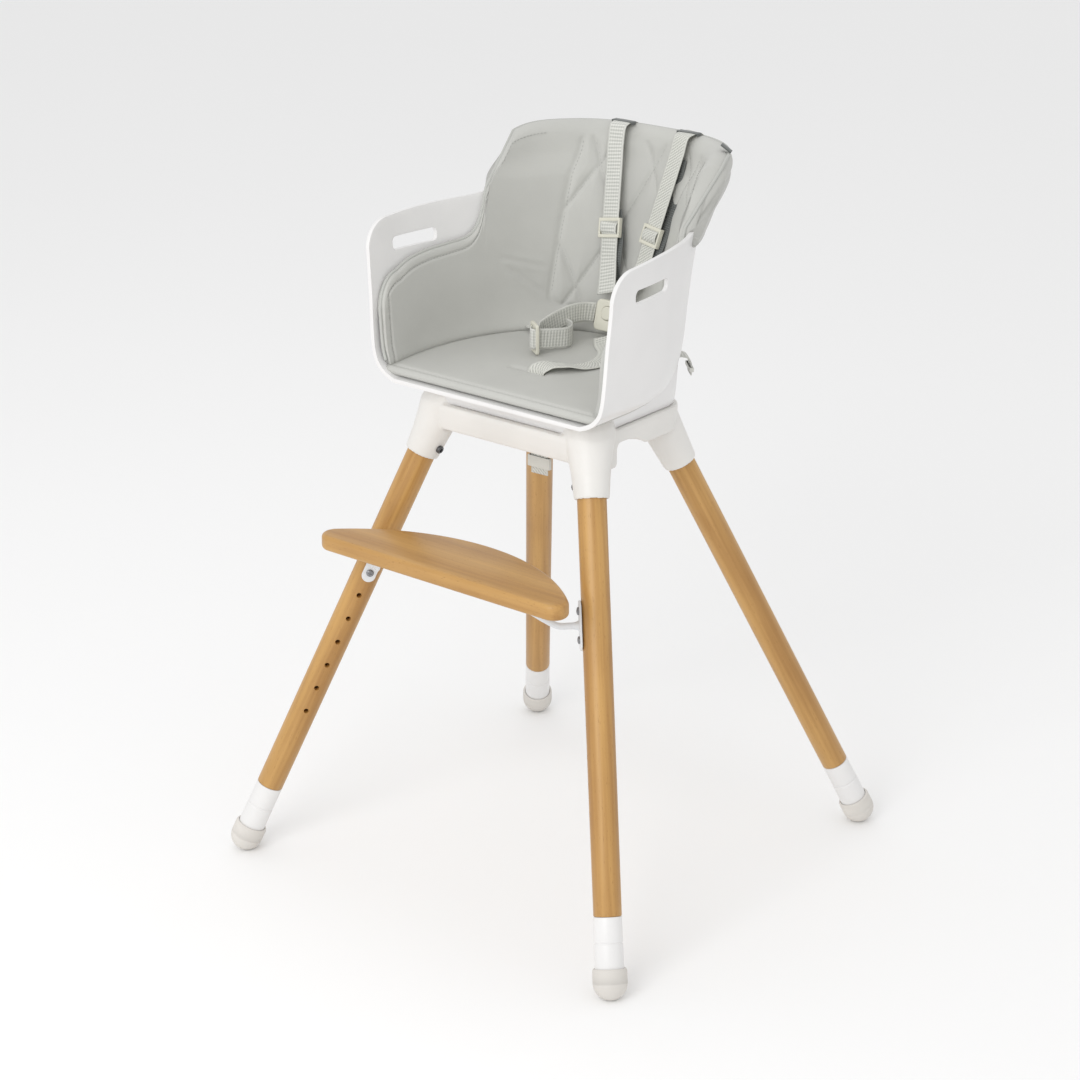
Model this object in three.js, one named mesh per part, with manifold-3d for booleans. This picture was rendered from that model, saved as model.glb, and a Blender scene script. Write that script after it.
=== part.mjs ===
// Baby high chair: a moulded bucket seat on four splayed beech legs, with a padded liner,
// a five-point harness and a footrest that is set at one of seven heights on the front legs.
// Millimetres, +Z up, the chair faces -Y, +X is to the right when looking along +Y.
// The origin is on the floor, below the middle of the bounding box.
import * as THREE from 'three';
import { mergeVertices } from 'three/addons/utils/BufferGeometryUtils.js';
import { ConvexGeometry } from 'three/addons/geometries/ConvexGeometry.js';
import Module from 'manifold-3d';

const wasm = await Module();
wasm.setup();

// ---------------------------------------------------------------- driving dimensions
const GAP = 0.3;                                      // clearance between touching pieces

const FRONT_FOOT = new THREE.Vector3(289, -275, 19);  // centre of the front foot's dome
const REAR_FOOT = new THREE.Vector3(265.5, 275, 19);
const FRONT_MOUTH = new THREE.Vector3(130, -111.5, 519.5); // leg axis at the socket's lower end
const REAR_MOUTH = new THREE.Vector3(109, 88, 505.5);

const LEG_TOP_R = 17.2;
const LEG_LOW_R = 16.3;
const LEG_INSERT = 52;                                // length of leg inside its socket
const SLEEVE_TOP = 75;                                // along the leg, from the dome's centre
const SLEEVE_LOW_R = 16.8;
const TENON_R = 11;
const TENON_LENGTH = 40;
const CAP_R = 20;
const CAP_TOP = 16.5;

const SOCKET_R = 20.5;                                // socket outside, at its lower end
const SOCKET_MID_R = 22.5;
const SOCKET_MID_UP = 26;
const SOCKET_TOP_R = 31;                              // socket outside, where it joins the tray
const SOCKET_SHOULDER = 5;
const SOCKET_TOP = 606;
const TRAY_LOW = 556;
const SEAM = 589;                                     // joint line between tray and seat shell
const TRAY_WALL = 4;

const FLOOR_LOW = 613.7;                              // underside of the shell's seat floor
const FLOOR_TOP = 619;
const SHELL_WALL = 5;
const LIP_Y = -147.5;                                 // front edge of the shell
const ARM_SLOT = { y: -68, z: 767, length: 70, height: 16, radius: 6 };

const HOLE_PITCH = 33.2;                              // footrest holes in the front legs
const HOLE_COUNT = 8;
const HOLE_FIRST = 190.5;                             // lowest hole, from the dome's centre
const HOLE_R = 3.1;
const HOLE_DEPTH = 14;
const PLATE = { length: 58, width: 17, thick: 2.5 };

const BOARD = { low: 421.5, thick: 19.5, front: -243, back: -143, arc: 260, corner: 17 };
const ROD_R = 3.9;
const ROD_Y = -214;                                   // the straight of the rod under the board
const GUIDE_X = 84;

const WEB = { width: 25, thick: 1.6 };                // harness webbing
const ROUND = 20;                                     // facets round a leg

// ---------------------------------------------------------------- materials
const paint = (color, roughness, metalness = 0) => ({ color, roughness, metalness });
const FINISH = {
  plastic: paint('#f1f0ee', 0.4),
  wood: paint('#c08f50', 0.5),
  rubber: paint('#d5d2cb', 0.7),
  leather: paint('#c3c5c0', 0.6),
  webbing: paint('#cfd0ca', 0.85),
  buckle: paint('#cfcdbf', 0.5),
  tab: paint('#5d6060', 0.8),
  steel: paint('#a9aaac', 0.35, 1),
  painted: paint('#dedfe0', 0.4),
};

const model = new THREE.Group();

function add(name, geometry, finish, place = null) {
  const mesh = new THREE.Mesh(geometry, new THREE.MeshStandardMaterial(FINISH[finish]));
  mesh.name = name;
  if (place) mesh.applyMatrix4(place);
  model.add(mesh);
  return mesh;
}

// ---------------------------------------------------------------- solids
function toSolid(geometry) {
  const bare = geometry.clone();
  for (const key of Object.keys(bare.attributes)) {
    if (key !== 'position') bare.deleteAttribute(key);
  }
  const merged = mergeVertices(bare, 1e-4);
  const mesh = new wasm.Mesh({
    numProp: 3,
    vertProperties: new Float32Array(merged.attributes.position.array),
    triVerts: new Uint32Array(merged.index.array),
  });
  return new wasm.Manifold(mesh);
}

function toGeometry(solid) {
  const mesh = solid.getMesh();
  const geometry = new THREE.BufferGeometry();
  geometry.setAttribute('position', new THREE.BufferAttribute(mesh.vertProperties, 3));
  geometry.setIndex(new THREE.BufferAttribute(mesh.triVerts, 1));
  return geometry;
}

const cut = (solid, ...tools) => tools.reduce((rest, tool) => rest.subtract(tool), solid);
const join = (solid, ...others) => others.reduce((all, other) => all.add(other), solid);

// A closed solid through a stack of loops, each with the same number of points.
function loft(loops) {
  const count = loops[0].length;
  const points = loops.flat();
  const index = [];
  for (let row = 0; row < loops.length - 1; row++) {
    for (let i = 0; i < count; i++) {
      const a = row * count + i;
      const b = row * count + (i + 1) % count;
      index.push(a, b, b + count, a, b + count, a + count);
    }
  }
  const last = (loops.length - 1) * count;
  for (let i = 1; i < count - 1; i++) {
    index.push(0, i + 1, i);
    index.push(last, last + i, last + i + 1);
  }
  const geometry = new THREE.BufferGeometry().setFromPoints(points);
  geometry.setIndex(index);
  return geometry;
}

// A cylinder or cone along local Z, from z0 to z1.
function rod(r0, r1, z0, z1, facets = ROUND) {
  const geometry = new THREE.CylinderGeometry(r1, r0, z1 - z0, facets);
  geometry.rotateX(Math.PI / 2);
  geometry.translate(0, 0, (z0 + z1) / 2);
  return geometry;
}

// A turned solid about local Z from a profile of [radius, z] that starts and ends on the axis.
function turned(profile, facets = ROUND) {
  const geometry = new THREE.LatheGeometry(profile.map(([r, z]) => new THREE.Vector2(r, z)), facets);
  geometry.rotateX(Math.PI / 2);
  return geometry;
}

// A side-view outline, drawn in [y, z], extruded across the chair from x0 to x1.
function sidePlate(outline, x0, x1) {
  const shape = new THREE.Shape(outline.map(([y, z]) => new THREE.Vector2(y, z)));
  const geometry = new THREE.ExtrudeGeometry(shape, { depth: x1 - x0, bevelEnabled: false });
  const turn = new THREE.Matrix4().makeBasis(
    new THREE.Vector3(0, 1, 0),
    new THREE.Vector3(0, 0, 1),
    new THREE.Vector3(1, 0, 0),
  );
  geometry.applyMatrix4(turn);
  geometry.translate(x0, 0, 0);
  return geometry;
}

function roundedRectangle(width, height, radius) {
  const x = width / 2;
  const y = height / 2;
  const shape = new THREE.Shape();
  shape.moveTo(-x + radius, -y);
  shape.lineTo(x - radius, -y);
  shape.absarc(x - radius, -y + radius, radius, -Math.PI / 2, 0);
  shape.lineTo(x, y - radius);
  shape.absarc(x - radius, y - radius, radius, 0, Math.PI / 2);
  shape.lineTo(-x + radius, y);
  shape.absarc(-x + radius, y - radius, radius, Math.PI / 2, Math.PI);
  shape.lineTo(-x, -y + radius);
  shape.absarc(-x + radius, -y + radius, radius, Math.PI, Math.PI * 1.5);
  return shape;
}

function slab(shape, depth, segments = 2) {
  return new THREE.ExtrudeGeometry(shape, { depth, bevelEnabled: false, curveSegments: segments });
}

// A strip of webbing through the given points. `across` is the direction of its width, and
// may be one vector or one for each point.
function ribbon(points, across, width = WEB.width, thick = WEB.thick) {
  const sides = Array.isArray(across) ? across : points.map(() => across);
  const loops = points.map((point, i) => {
    const before = points[Math.max(i - 1, 0)];
    const after = points[Math.min(i + 1, points.length - 1)];
    const along = after.clone().sub(before).normalize();
    const side = sides[i].clone().addScaledVector(along, -sides[i].dot(along)).normalize();
    const face = new THREE.Vector3().crossVectors(along, side).normalize();
    return [[1, 1], [-1, 1], [-1, -1], [1, -1]].map(([s, f]) => point.clone()
      .addScaledVector(side, s * width / 2)
      .addScaledVector(face, f * thick / 2));
  });
  return loft(loops);
}

// A smooth list of points through a few given ones.
function smooth(points, count) {
  const curve = new THREE.CatmullRomCurve3(points.map((p) => new THREE.Vector3(...p)));
  return curve.getPoints(count);
}

// ---------------------------------------------------------------- legs and feet
const SIDES = [['left', -1], ['right', 1]];
const ENDS = [['front', FRONT_FOOT, FRONT_MOUTH], ['rear', REAR_FOOT, REAR_MOUTH]];

// The leg's own frame: origin at the dome's centre, Z up along the leg, X towards the
// face that carries the footrest holes.
function legFrame(foot, mouth, side) {
  const low = new THREE.Vector3(foot.x * side, foot.y, foot.z);
  const high = new THREE.Vector3(mouth.x * side, mouth.y, mouth.z);
  const z = high.clone().sub(low).normalize();
  const x = new THREE.Vector3(z.y, -z.x, 0).normalize().multiplyScalar(side);
  if (x.y > 0) x.negate();
  const y = new THREE.Vector3().crossVectors(z, x);
  const frame = new THREE.Matrix4().makeBasis(x, y, z).setPosition(low);
  return { frame, x, z, length: high.distanceTo(low) };
}

function legGeometry(length, drilled) {
  const top = length + LEG_INSERT;
  const slope = (LEG_TOP_R - LEG_LOW_R) / (length - SLEEVE_TOP);
  const topR = LEG_LOW_R + slope * (top - SLEEVE_TOP);
  const base = SLEEVE_TOP + GAP;
  const body = toSolid(turned([
    [0, base - TENON_LENGTH],
    [TENON_R - 1, base - TENON_LENGTH],
    [TENON_R, base - TENON_LENGTH + 1],
    [TENON_R, base],
    [LEG_LOW_R, base],
    [topR, top - 2],
    [topR - 2, top],
    [0, top],
  ]));
  if (!drilled) return toGeometry(body);
  const holes = [];
  for (let k = 0; k < HOLE_COUNT; k++) {
    const hole = rod(HOLE_R, HOLE_R, LEG_LOW_R - HOLE_DEPTH, LEG_TOP_R + 3, 10);
    hole.rotateY(Math.PI / 2);
    hole.translate(0, 0, HOLE_FIRST + k * HOLE_PITCH);
    holes.push(toSolid(hole));
  }
  return toGeometry(cut(body, ...holes));
}

function sleeveGeometry() {
  const grooveZ = 45;
  const r = (z) => SLEEVE_LOW_R + (LEG_LOW_R - SLEEVE_LOW_R) * (z / SLEEVE_TOP);
  return turned([
    [0, -6],
    [12, -6],
    [14, -2],
    [r(0), 0],
    [r(grooveZ - 1), grooveZ - 1],
    [r(grooveZ) - 0.5, grooveZ],
    [r(grooveZ + 1), grooveZ + 1],
    [r(SLEEVE_TOP), SLEEVE_TOP],
    [TENON_R + GAP, SLEEVE_TOP],
    [TENON_R + GAP, SLEEVE_TOP - TENON_LENGTH - 1],
    [0, SLEEVE_TOP - TENON_LENGTH - 1],
  ]);
}

// The cap is a rubber cup with a domed end, worn flat where it meets the floor.
function capGeometry(frame) {
  const profile = [];
  const steps = 5;
  for (let i = 0; i <= steps; i++) {
    const angle = -Math.PI / 2 + (i / steps) * (Math.PI / 2);
    profile.push([i === 0 ? 0 : CAP_R * Math.cos(angle), CAP_R * Math.sin(angle)]);
  }
  profile.push([CAP_R - 0.2, CAP_TOP - 2], [CAP_R - 1.4, CAP_TOP]);
  profile.push([SLEEVE_LOW_R + GAP, CAP_TOP], [SLEEVE_LOW_R + GAP, -GAP], [14.4, -3]);
  profile.push([12.3, -6 - GAP], [0, -6 - GAP]);
  const dome = turned(profile);
  dome.applyMatrix4(frame);
  const floor = new THREE.BoxGeometry(900, 900, 40);
  floor.translate(0, 0, -20);
  const worn = toGeometry(cut(toSolid(dome), toSolid(floor)));
  worn.applyMatrix4(frame.clone().invert());
  return worn;
}

const legs = {};
for (const [end, foot, mouth] of ENDS) {
  for (const [sideName, side] of SIDES) {
    const leg = legFrame(foot, mouth, side);
    const name = `${end}_${sideName}`;
    legs[name] = leg;
    add(`leg_${name}`, legGeometry(leg.length, end === 'front'), 'wood', leg.frame);
    add(`leg_sleeve_${name}`, sleeveGeometry(), 'plastic', leg.frame);
    add(`foot_cap_${name}`, capGeometry(leg.frame), 'rubber', leg.frame);
  }
}

// ---------------------------------------------------------------- harness slots
// Slots that the harness passes through.
const CROTCH = { x: 9, y: -66 };
const WAIST = { x: 104, y: 73, z: 643.5 };              // middle of the slot in the right-hand wall
const WAIST_OUT = new THREE.Vector3(0.69, 0.72, 0).normalize();

// ---------------------------------------------------------------- leg frame
// A rounded rectangle in plan with its corners at (x, front) and (x, back).
function planLoop(x, front, back, radius, z, steps = 3) {
  const shape = roundedRectangle(2 * x, back - front, radius);
  const flat = shape.getPoints(steps).slice(0, -1);
  const middle = (front + back) / 2;
  return flat.map((p) => new THREE.Vector3(p.x, p.y + middle, z));
}

// Each leg is held by a bolt through the side of its socket that faces the chair's middle.
const BOLT_UP = 16;                                   // above the socket's mouth
const BOLT_SEAT = 21.4;                               // flat under the bolt's head

const TRAY = { x: 127, front: -118, back: 82, radius: 38 };
const PLATFORM = { x: 112, front: -104, back: 74, radius: 34 };

// The side walls are cut away between the sockets, deepest beside the front one. [y, z]
const SIDE_ARCH = [
  [-57, 551], [-57, 568], [-53, 571], [-37, 571], [-18, 566], [-1, 558.5], [6, 551],
];
// A web behind each front socket. [y, z], and its two faces in x.
const WEB_OUTLINE = [[-92, 548], [-92, 577], [-55, 577], [-55, 545], [-58, 541.5], [-76, 541.5]];
const WEB_FACES = [109, 124];

// The outside of a socket, a cone that widens into a shoulder beside the seat's skirt.
function socketHull(leg, mouth, side, grow = 0) {
  const points = [];
  const facets = 20;
  const rise = (SEAM - mouth.z) / leg.z.z;
  const axisTop = new THREE.Vector3(mouth.x * side, mouth.y, mouth.z).addScaledVector(leg.z, rise);
  for (let i = 0; i < facets; i++) {
    const angle = (i / facets) * Math.PI * 2;
    const c = Math.cos(angle);
    const s = Math.sin(angle);
    const low = new THREE.Vector3(SOCKET_R * c, SOCKET_R * s, leg.length);
    const mid = new THREE.Vector3(SOCKET_MID_R * c, SOCKET_MID_R * s, leg.length + SOCKET_MID_UP);
    points.push(low.applyMatrix4(leg.frame), mid.applyMatrix4(leg.frame));
    const rimR = SOCKET_TOP_R + grow;
    points.push(new THREE.Vector3(axisTop.x + rimR * c, axisTop.y + rimR * s, SEAM));
    points.push(new THREE.Vector3(
      axisTop.x + (rimR - SOCKET_SHOULDER) * c,
      axisTop.y + (rimR - SOCKET_SHOULDER) * s,
      SOCKET_TOP + grow,
    ));
  }
  return toSolid(new ConvexGeometry(points));
}

function bored(leg, r, z0, z1) {
  const geometry = rod(r, r, z0, z1, ROUND);
  geometry.applyMatrix4(leg.frame);
  return toSolid(geometry);
}

const SEAT_SCREWS = [];
for (const x of [-78, 78]) {
  for (const y of [-72, 42]) SEAT_SCREWS.push([x, y]);
}

function upright(r, x, y, z0, z1, facets = 10) {
  const geometry = rod(r, r, z0, z1, facets);
  geometry.translate(x, y, 0);
  return toSolid(geometry);
}

function legFrameGeometry() {
  const t = TRAY;
  const p = PLATFORM;
  const skirt = toSolid(loft([
    planLoop(t.x - 5, t.front + 4, t.back - 4, t.radius - 4, TRAY_LOW),
    planLoop(t.x, t.front, t.back, t.radius, SEAM - 6),
    planLoop(t.x - 1, t.front + 1, t.back - 1, t.radius - 1, SEAM),
  ]));
  const platform = toSolid(loft([
    planLoop(p.x, p.front, p.back, p.radius, SEAM - 3),
    planLoop(p.x, p.front, p.back, p.radius, FLOOR_LOW - GAP),
  ]));
  const pocket = toSolid(loft([
    planLoop(t.x - 9, t.front + 8, t.back - 8, t.radius - 8, TRAY_LOW - 1),
    planLoop(p.x - TRAY_WALL, p.front + TRAY_WALL, p.back - TRAY_WALL, p.radius - TRAY_WALL, SEAM - 4),
    planLoop(p.x - TRAY_WALL, p.front + TRAY_WALL, p.back - TRAY_WALL, p.radius - TRAY_WALL,
      FLOOR_LOW - GAP - TRAY_WALL),
  ]));
  const sideArch = toSolid(sidePlate(SIDE_ARCH, -170, 170));
  let frame = cut(join(skirt, platform), pocket, sideArch);
  const hulls = [];
  const bores = [];
  for (const [end, , mouth] of ENDS) {
    for (const [sideName, side] of SIDES) {
      const leg = legs[`${end}_${sideName}`];
      hulls.push(socketHull(leg, mouth, side));
      if (end === 'front') {
        const faces = WEB_FACES.map((x) => x * side).sort((a, b) => a - b);
        hulls.push(toSolid(sidePlate(WEB_OUTLINE, ...faces)));
      }
      bores.push(bored(leg, LEG_TOP_R + 0.5, leg.length - 5, leg.length + LEG_INSERT + 1));
      const bolt = rod(2.6, 2.6, 0, 40, 10);
      bolt.rotateY(-Math.PI / 2);
      bolt.translate(0, 0, leg.length + BOLT_UP);
      bolt.applyMatrix4(boltFrame(leg, side));
      const seat = rod(5.8, 5.8, BOLT_SEAT, 60, 14);
      seat.rotateY(-Math.PI / 2);
      seat.translate(0, 0, leg.length + BOLT_UP);
      seat.applyMatrix4(boltFrame(leg, side));
      bores.push(toSolid(bolt), toSolid(seat));
    }
  }
  frame = join(frame, ...hulls);
  for (const [x, y] of SEAT_SCREWS) {
    frame = join(frame, upright(7, x, y, FLOOR_LOW - 22, FLOOR_LOW - 3));
    bores.push(upright(2.5, x, y, FLOOR_LOW - 17, FLOOR_LOW + 1));
  }
  bores.push(crotchSlot(FLOOR_LOW - 40, FLOOR_LOW + 5));
  return toGeometry(cut(frame, ...bores));
}

function boltFrame(leg, side) {
  const inward = new THREE.Vector3(-side, 0, 0);
  const y = new THREE.Vector3().crossVectors(leg.z, inward).normalize();
  const x = new THREE.Vector3().crossVectors(y, leg.z).normalize();
  return new THREE.Matrix4().makeBasis(x.negate(), y.negate(), leg.z)
    .setPosition(new THREE.Vector3().setFromMatrixPosition(leg.frame));
}

add('leg_frame', legFrameGeometry(), 'plastic');

for (const [end] of ENDS) {
  for (const [sideName, side] of SIDES) {
    const leg = legs[`${end}_${sideName}`];
    const head = BOLT_SEAT + GAP;
    const bolt = turned([[0, LEG_TOP_R + 1], [2.2, LEG_TOP_R + 1], [2.2, head], [5, head],
      [5, head + 3], [4, head + 4], [2.2, head + 4], [2.2, head + 2], [0, head + 2]], 10);
    bolt.rotateY(-Math.PI / 2);
    bolt.translate(0, 0, leg.length + BOLT_UP);
    add(`leg_bolt_${end}_${sideName}`, bolt, 'steel', boltFrame(leg, side));
  }
}

// ---------------------------------------------------------------- seat shell
// Plan sections of the bucket at rising heights: half width, back, where the curve of the
// back starts, and how full that curve is (2 is an ellipse).
const BUCKET = [
  { z: 613.7, x: 140, back: 84, from: -99, full: 2.3 },
  { z: 618, x: 151, back: 95, from: -99, full: 2.3 },
  { z: 626, x: 162.5, back: 106, from: -99, full: 2.2 },
  { z: 638, x: 170.5, back: 115, from: -99, full: 2.1 },
  { z: 655, x: 174.5, back: 124, from: -99, full: 2.1 },
  { z: 716, x: 178.8, back: 147, from: -104, full: 2 },
  { z: 760, x: 182.5, back: 162, from: -110, full: 1.95 },
  { z: 819, x: 185.5, back: 178, from: -112, full: 2 },
  { z: 850, x: 176, back: 186, from: -95, full: 2.4 },
  { z: 890, x: 165, back: 190, from: -75, full: 2.8 },
];
const BUCKET_FRONT = -200;                            // past the lip: the side outline trims it

function bucketAt(z) {
  let k = 0;
  while (k < BUCKET.length - 2 && z > BUCKET[k + 1].z) k++;
  const a = BUCKET[k];
  const b = BUCKET[k + 1];
  const u = (z - a.z) / (b.z - a.z);
  const mix = (key) => a[key] + (b[key] - a[key]) * u;
  return { x: mix('x'), back: mix('back'), from: mix('from'), full: mix('full') };
}

// One closed plan loop of the bucket at height z, `inset` inside its outer face at the
// sides and `insetBack` inside it at the middle of the back. `fuller` squares its corners.
function bucketLoop(z, inset, insetBack = inset, fuller = 0, steps = 24) {
  const s = bucketAt(z);
  const power = 2 / (s.full + fuller);
  const x = s.x - inset;
  const depth = s.back - insetBack - s.from;
  const loop = [new THREE.Vector3(-x, BUCKET_FRONT, z), new THREE.Vector3(x, BUCKET_FRONT, z)];
  for (let i = 0; i <= steps; i++) {
    const angle = (i / steps) * Math.PI;
    const c = Math.cos(angle);
    const px = Math.sign(c) * Math.abs(c) ** power * x;
    const py = s.from + Math.sin(angle) ** power * depth;
    loop.push(new THREE.Vector3(px, py, z));
  }
  return loop;
}

function bucketSolid(z0, z1, inset, insetBack = inset, backLow = insetBack) {
  const heights = [z0];
  for (const section of BUCKET) {
    if (section.z > z0 + 1 && section.z < z1 - 1) heights.push(section.z);
  }
  heights.push(z1);
  const loops = heights.map((z) => {
    const u = Math.min(Math.max((z - 640) / 240, 0), 1);
    return bucketLoop(z, inset, backLow + (insetBack - backLow) * u);
  });
  return toSolid(loft(loops));
}

function arcPoints(y, z, r, a0, a1, steps = 5) {
  const points = [];
  for (let i = 0; i <= steps; i++) {
    const angle = THREE.MathUtils.degToRad(a0 + (a1 - a0) * i / steps);
    points.push([y + r * Math.cos(angle), z + r * Math.sin(angle)]);
  }
  return points;
}

// Side outline of the shell: front edge, armrest top, sweep up to the back's top edge.
const SHELL_OUTLINE = [
  [LIP_Y, 600],
  [LIP_Y, 655],
  [-143.5, 760],
  ...arcPoints(-109, 766, 35, 170, 98),
  [-69, 803.5],
  [-19, 805],
  [22, 805.5],
  [48, 810],
  [66, 822],
  [80, 840],
  [96, 857],
  [116, 868],
  [140, 872],
  [240, 872],
  [240, 600],
];

function armSlots() {
  const slot = slab(roundedRectangle(ARM_SLOT.length, ARM_SLOT.height, ARM_SLOT.radius), 460);
  const turn = new THREE.Matrix4().makeBasis(
    new THREE.Vector3(0, 1, 0),
    new THREE.Vector3(0, 0, 1),
    new THREE.Vector3(1, 0, 0),
  );
  slot.applyMatrix4(turn);
  slot.translate(-230, ARM_SLOT.y, ARM_SLOT.z);
  return toSolid(slot);
}

const SKIRT = { x: 118, front: -110, back: 80, radius: 38 };

function shellGeometry() {
  const outline = toSolid(sidePlate(SHELL_OUTLINE, -220, 220));
  const outer = bucketSolid(FLOOR_LOW, 889, 0);
  const inner = bucketSolid(FLOOR_TOP, 889.5, SHELL_WALL);
  let shell = cut(outer.intersect(outline), inner, armSlots());
  const s = SKIRT;
  const p = PLATFORM;
  const skirt = toSolid(loft([
    planLoop(s.x, s.front, s.back, s.radius, SEAM + GAP),
    planLoop(s.x + 6, s.front - 4, s.back + 4, s.radius + 4, FLOOR_LOW + 0.6),
  ]));
  const hollow = toSolid(loft([
    planLoop(p.x + GAP, p.front - GAP, p.back + GAP, p.radius + GAP, SEAM - 1),
    planLoop(p.x + GAP, p.front - GAP, p.back + GAP, p.radius + GAP, FLOOR_LOW),
  ]));
  shell = join(shell, cut(skirt, hollow));
  const holes = [];
  for (const [x, y] of SEAT_SCREWS) {
    holes.push(upright(2.6, x, y, FLOOR_LOW - 1, FLOOR_TOP + 1));
    holes.push(upright(5.6, x, y, FLOOR_TOP - 3, FLOOR_TOP + 1));
  }
  holes.push(crotchSlot(FLOOR_LOW - 40, FLOOR_TOP + 1), waistSlot(-1), waistSlot(1));
  for (const [end, , mouth] of ENDS) {
    for (const [sideName, side] of SIDES) {
      holes.push(socketHull(legs[`${end}_${sideName}`], mouth, side, GAP + 0.1));
    }
  }
  return toGeometry(cut(shell, ...holes));
}

function crotchSlot(z0, z1, width = 30, depth = 7) {
  const slot = slab(roundedRectangle(width, depth, depth / 2 - 0.2), z1 - z0);
  slot.translate(CROTCH.x, CROTCH.y, z0);
  return toSolid(slot);
}

function waistFrame(side) {
  const out = new THREE.Vector3(WAIST_OUT.x * side, WAIST_OUT.y, 0);
  const along = new THREE.Vector3(-out.y, out.x, 0);
  return new THREE.Matrix4().makeBasis(along, new THREE.Vector3(0, 0, 1), out)
    .setPosition(WAIST.x * side, WAIST.y, WAIST.z);
}

function waistSlot(side, height = 6, width = 32) {
  const slot = slab(roundedRectangle(width, height, height / 2 - 0.2), 90);
  slot.translate(0, 0, -45);
  slot.applyMatrix4(waistFrame(side));
  return toSolid(slot);
}

add('seat_shell', shellGeometry(), 'plastic');

SEAT_SCREWS.forEach(([x, y], i) => {
  const screw = turned([[0, -14], [2.1, -13], [2.1, 0], [5, 0], [5, 1.4], [3.6, 2.5], [0, 2.5]], 10);
  screw.translate(x, y, FLOOR_TOP - 3 + GAP);
  add(`seat_screw_${i + 1}`, screw, 'steel');
});

// ---------------------------------------------------------------- footrest
const ROD_Z = BOARD.low - 2 * GAP - ROD_R;

// A straight front edge and one wide arc behind, which runs tangent into the front corners.
function boardShape() {
  const { arc, back, front, corner } = BOARD;
  const centre = back - arc;
  const cornerY = front + corner;
  const cornerX = Math.sqrt((arc - corner) ** 2 - (cornerY - centre) ** 2);
  const meet = Math.atan2(cornerY - centre, cornerX);
  const shape = new THREE.Shape();
  shape.moveTo(-cornerX, front);
  shape.lineTo(cornerX, front);
  shape.absarc(cornerX, cornerY, corner, -Math.PI / 2, meet);
  shape.absarc(0, centre, arc, meet, Math.PI - meet);
  shape.absarc(-cornerX, cornerY, corner, Math.PI - meet, Math.PI * 1.5);
  return shape;
}

function boardGeometry() {
  const bevel = 4;
  const geometry = new THREE.ExtrudeGeometry(boardShape(), {
    depth: BOARD.thick - 2 * bevel,
    bevelThickness: bevel,
    bevelSize: bevel,
    bevelOffset: -bevel,
    bevelSegments: 2,
    curveSegments: 8,
  });
  geometry.translate(0, 0, BOARD.low + bevel);
  return geometry;
}

add('footrest_board', boardGeometry(), 'wood');

// The bracket is one bent rod welded to a plate that is screwed to the leg's side.
const PLATE_UP = HOLE_FIRST + (HOLE_COUNT - 1.5) * HOLE_PITCH;

function plateFrame(leg) {
  const y = new THREE.Vector3().crossVectors(leg.z, leg.x);
  const surface = LEG_LOW_R + (LEG_TOP_R - LEG_LOW_R) * (PLATE_UP / leg.length) + 0.15;
  const centre = new THREE.Vector3().setFromMatrixPosition(leg.frame)
    .addScaledVector(leg.z, PLATE_UP)
    .addScaledVector(leg.x, surface + GAP);
  return new THREE.Matrix4().makeBasis(y, leg.z, leg.x).setPosition(centre);
}

function bentRod(path, r, facets = 10) {
  const curve = new THREE.CatmullRomCurve3(path.map((p) => new THREE.Vector3(...p)), false, 'centripetal');
  const section = new THREE.Shape();
  section.absarc(0, 0, r, 0, Math.PI * 2);
  return new THREE.ExtrudeGeometry(section, {
    steps: 18,
    extrudePath: curve,
    bevelEnabled: false,
    curveSegments: facets / 2,
  });
}

function bracketGeometry(leg, side) {
  const frame = plateFrame(leg);
  const plate = slab(roundedRectangle(PLATE.width, PLATE.length, PLATE.width / 2 - 0.2), PLATE.thick, 4);
  plate.applyMatrix4(frame);
  let solid = toSolid(plate);
  const start = new THREE.Vector3(0, 0, 1).applyMatrix4(frame);
  const out = leg.x;
  const at = (d, dz) => [start.x + out.x * d, start.y + out.y * d, start.z + dz];
  const path = [
    at(0, 0),
    at(12, 0),
    at(26, 0.5),
    at(38, 7),
    [side * 121, -205.5, start.z + 18],
    [side * 113, ROD_Y + 1.5, ROD_Z - 3],
    [side * 104, ROD_Y, ROD_Z - 0.6],
    [side * 92, ROD_Y, ROD_Z],
    [side * 60, ROD_Y, ROD_Z],
    [side * 12, ROD_Y, ROD_Z],
  ];
  solid = join(solid, toSolid(bentRod(path, ROD_R)));
  const weld = rod(7, ROD_R + 0.8, 1, 6, 14);
  weld.applyMatrix4(frame);
  solid = join(solid, toSolid(weld));
  const holes = [-1, 1].map((sign) => {
    const hole = rod(2.4, 2.4, -2, PLATE.thick + 2, 10);
    hole.translate(0, sign * HOLE_PITCH / 2, 0);
    hole.applyMatrix4(frame);
    return toSolid(hole);
  });
  return toGeometry(cut(solid, ...holes));
}

for (const [sideName, side] of SIDES) {
  const leg = legs[`front_${sideName}`];
  add(`footrest_bracket_${sideName}`, bracketGeometry(leg, side), 'painted');
  [['lower', -1], ['upper', 1]].forEach(([place, sign]) => {
    const top = PLATE.thick + GAP;
    const screw = turned([[0, 0], [2, 0], [2, top], [4.6, top], [4.2, top + 1.8], [2.6, top + 2.8],
      [1.2, top + 2.8], [1.2, top + 1.6], [0, top + 1.6]], 10);
    screw.translate(0, sign * HOLE_PITCH / 2, 0);
    add(`bracket_screw_${place}_${sideName}`, screw, 'steel', plateFrame(leg));
  });
}

// A saddle under the board holds the straight of each rod and lets it slide sideways.
const GUIDE = { length: 16, wing: 17, thick: 2, arch: ROD_R + 0.5 };
const GUIDE_SCREW = { r: 1.8, y: 12 };

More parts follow.
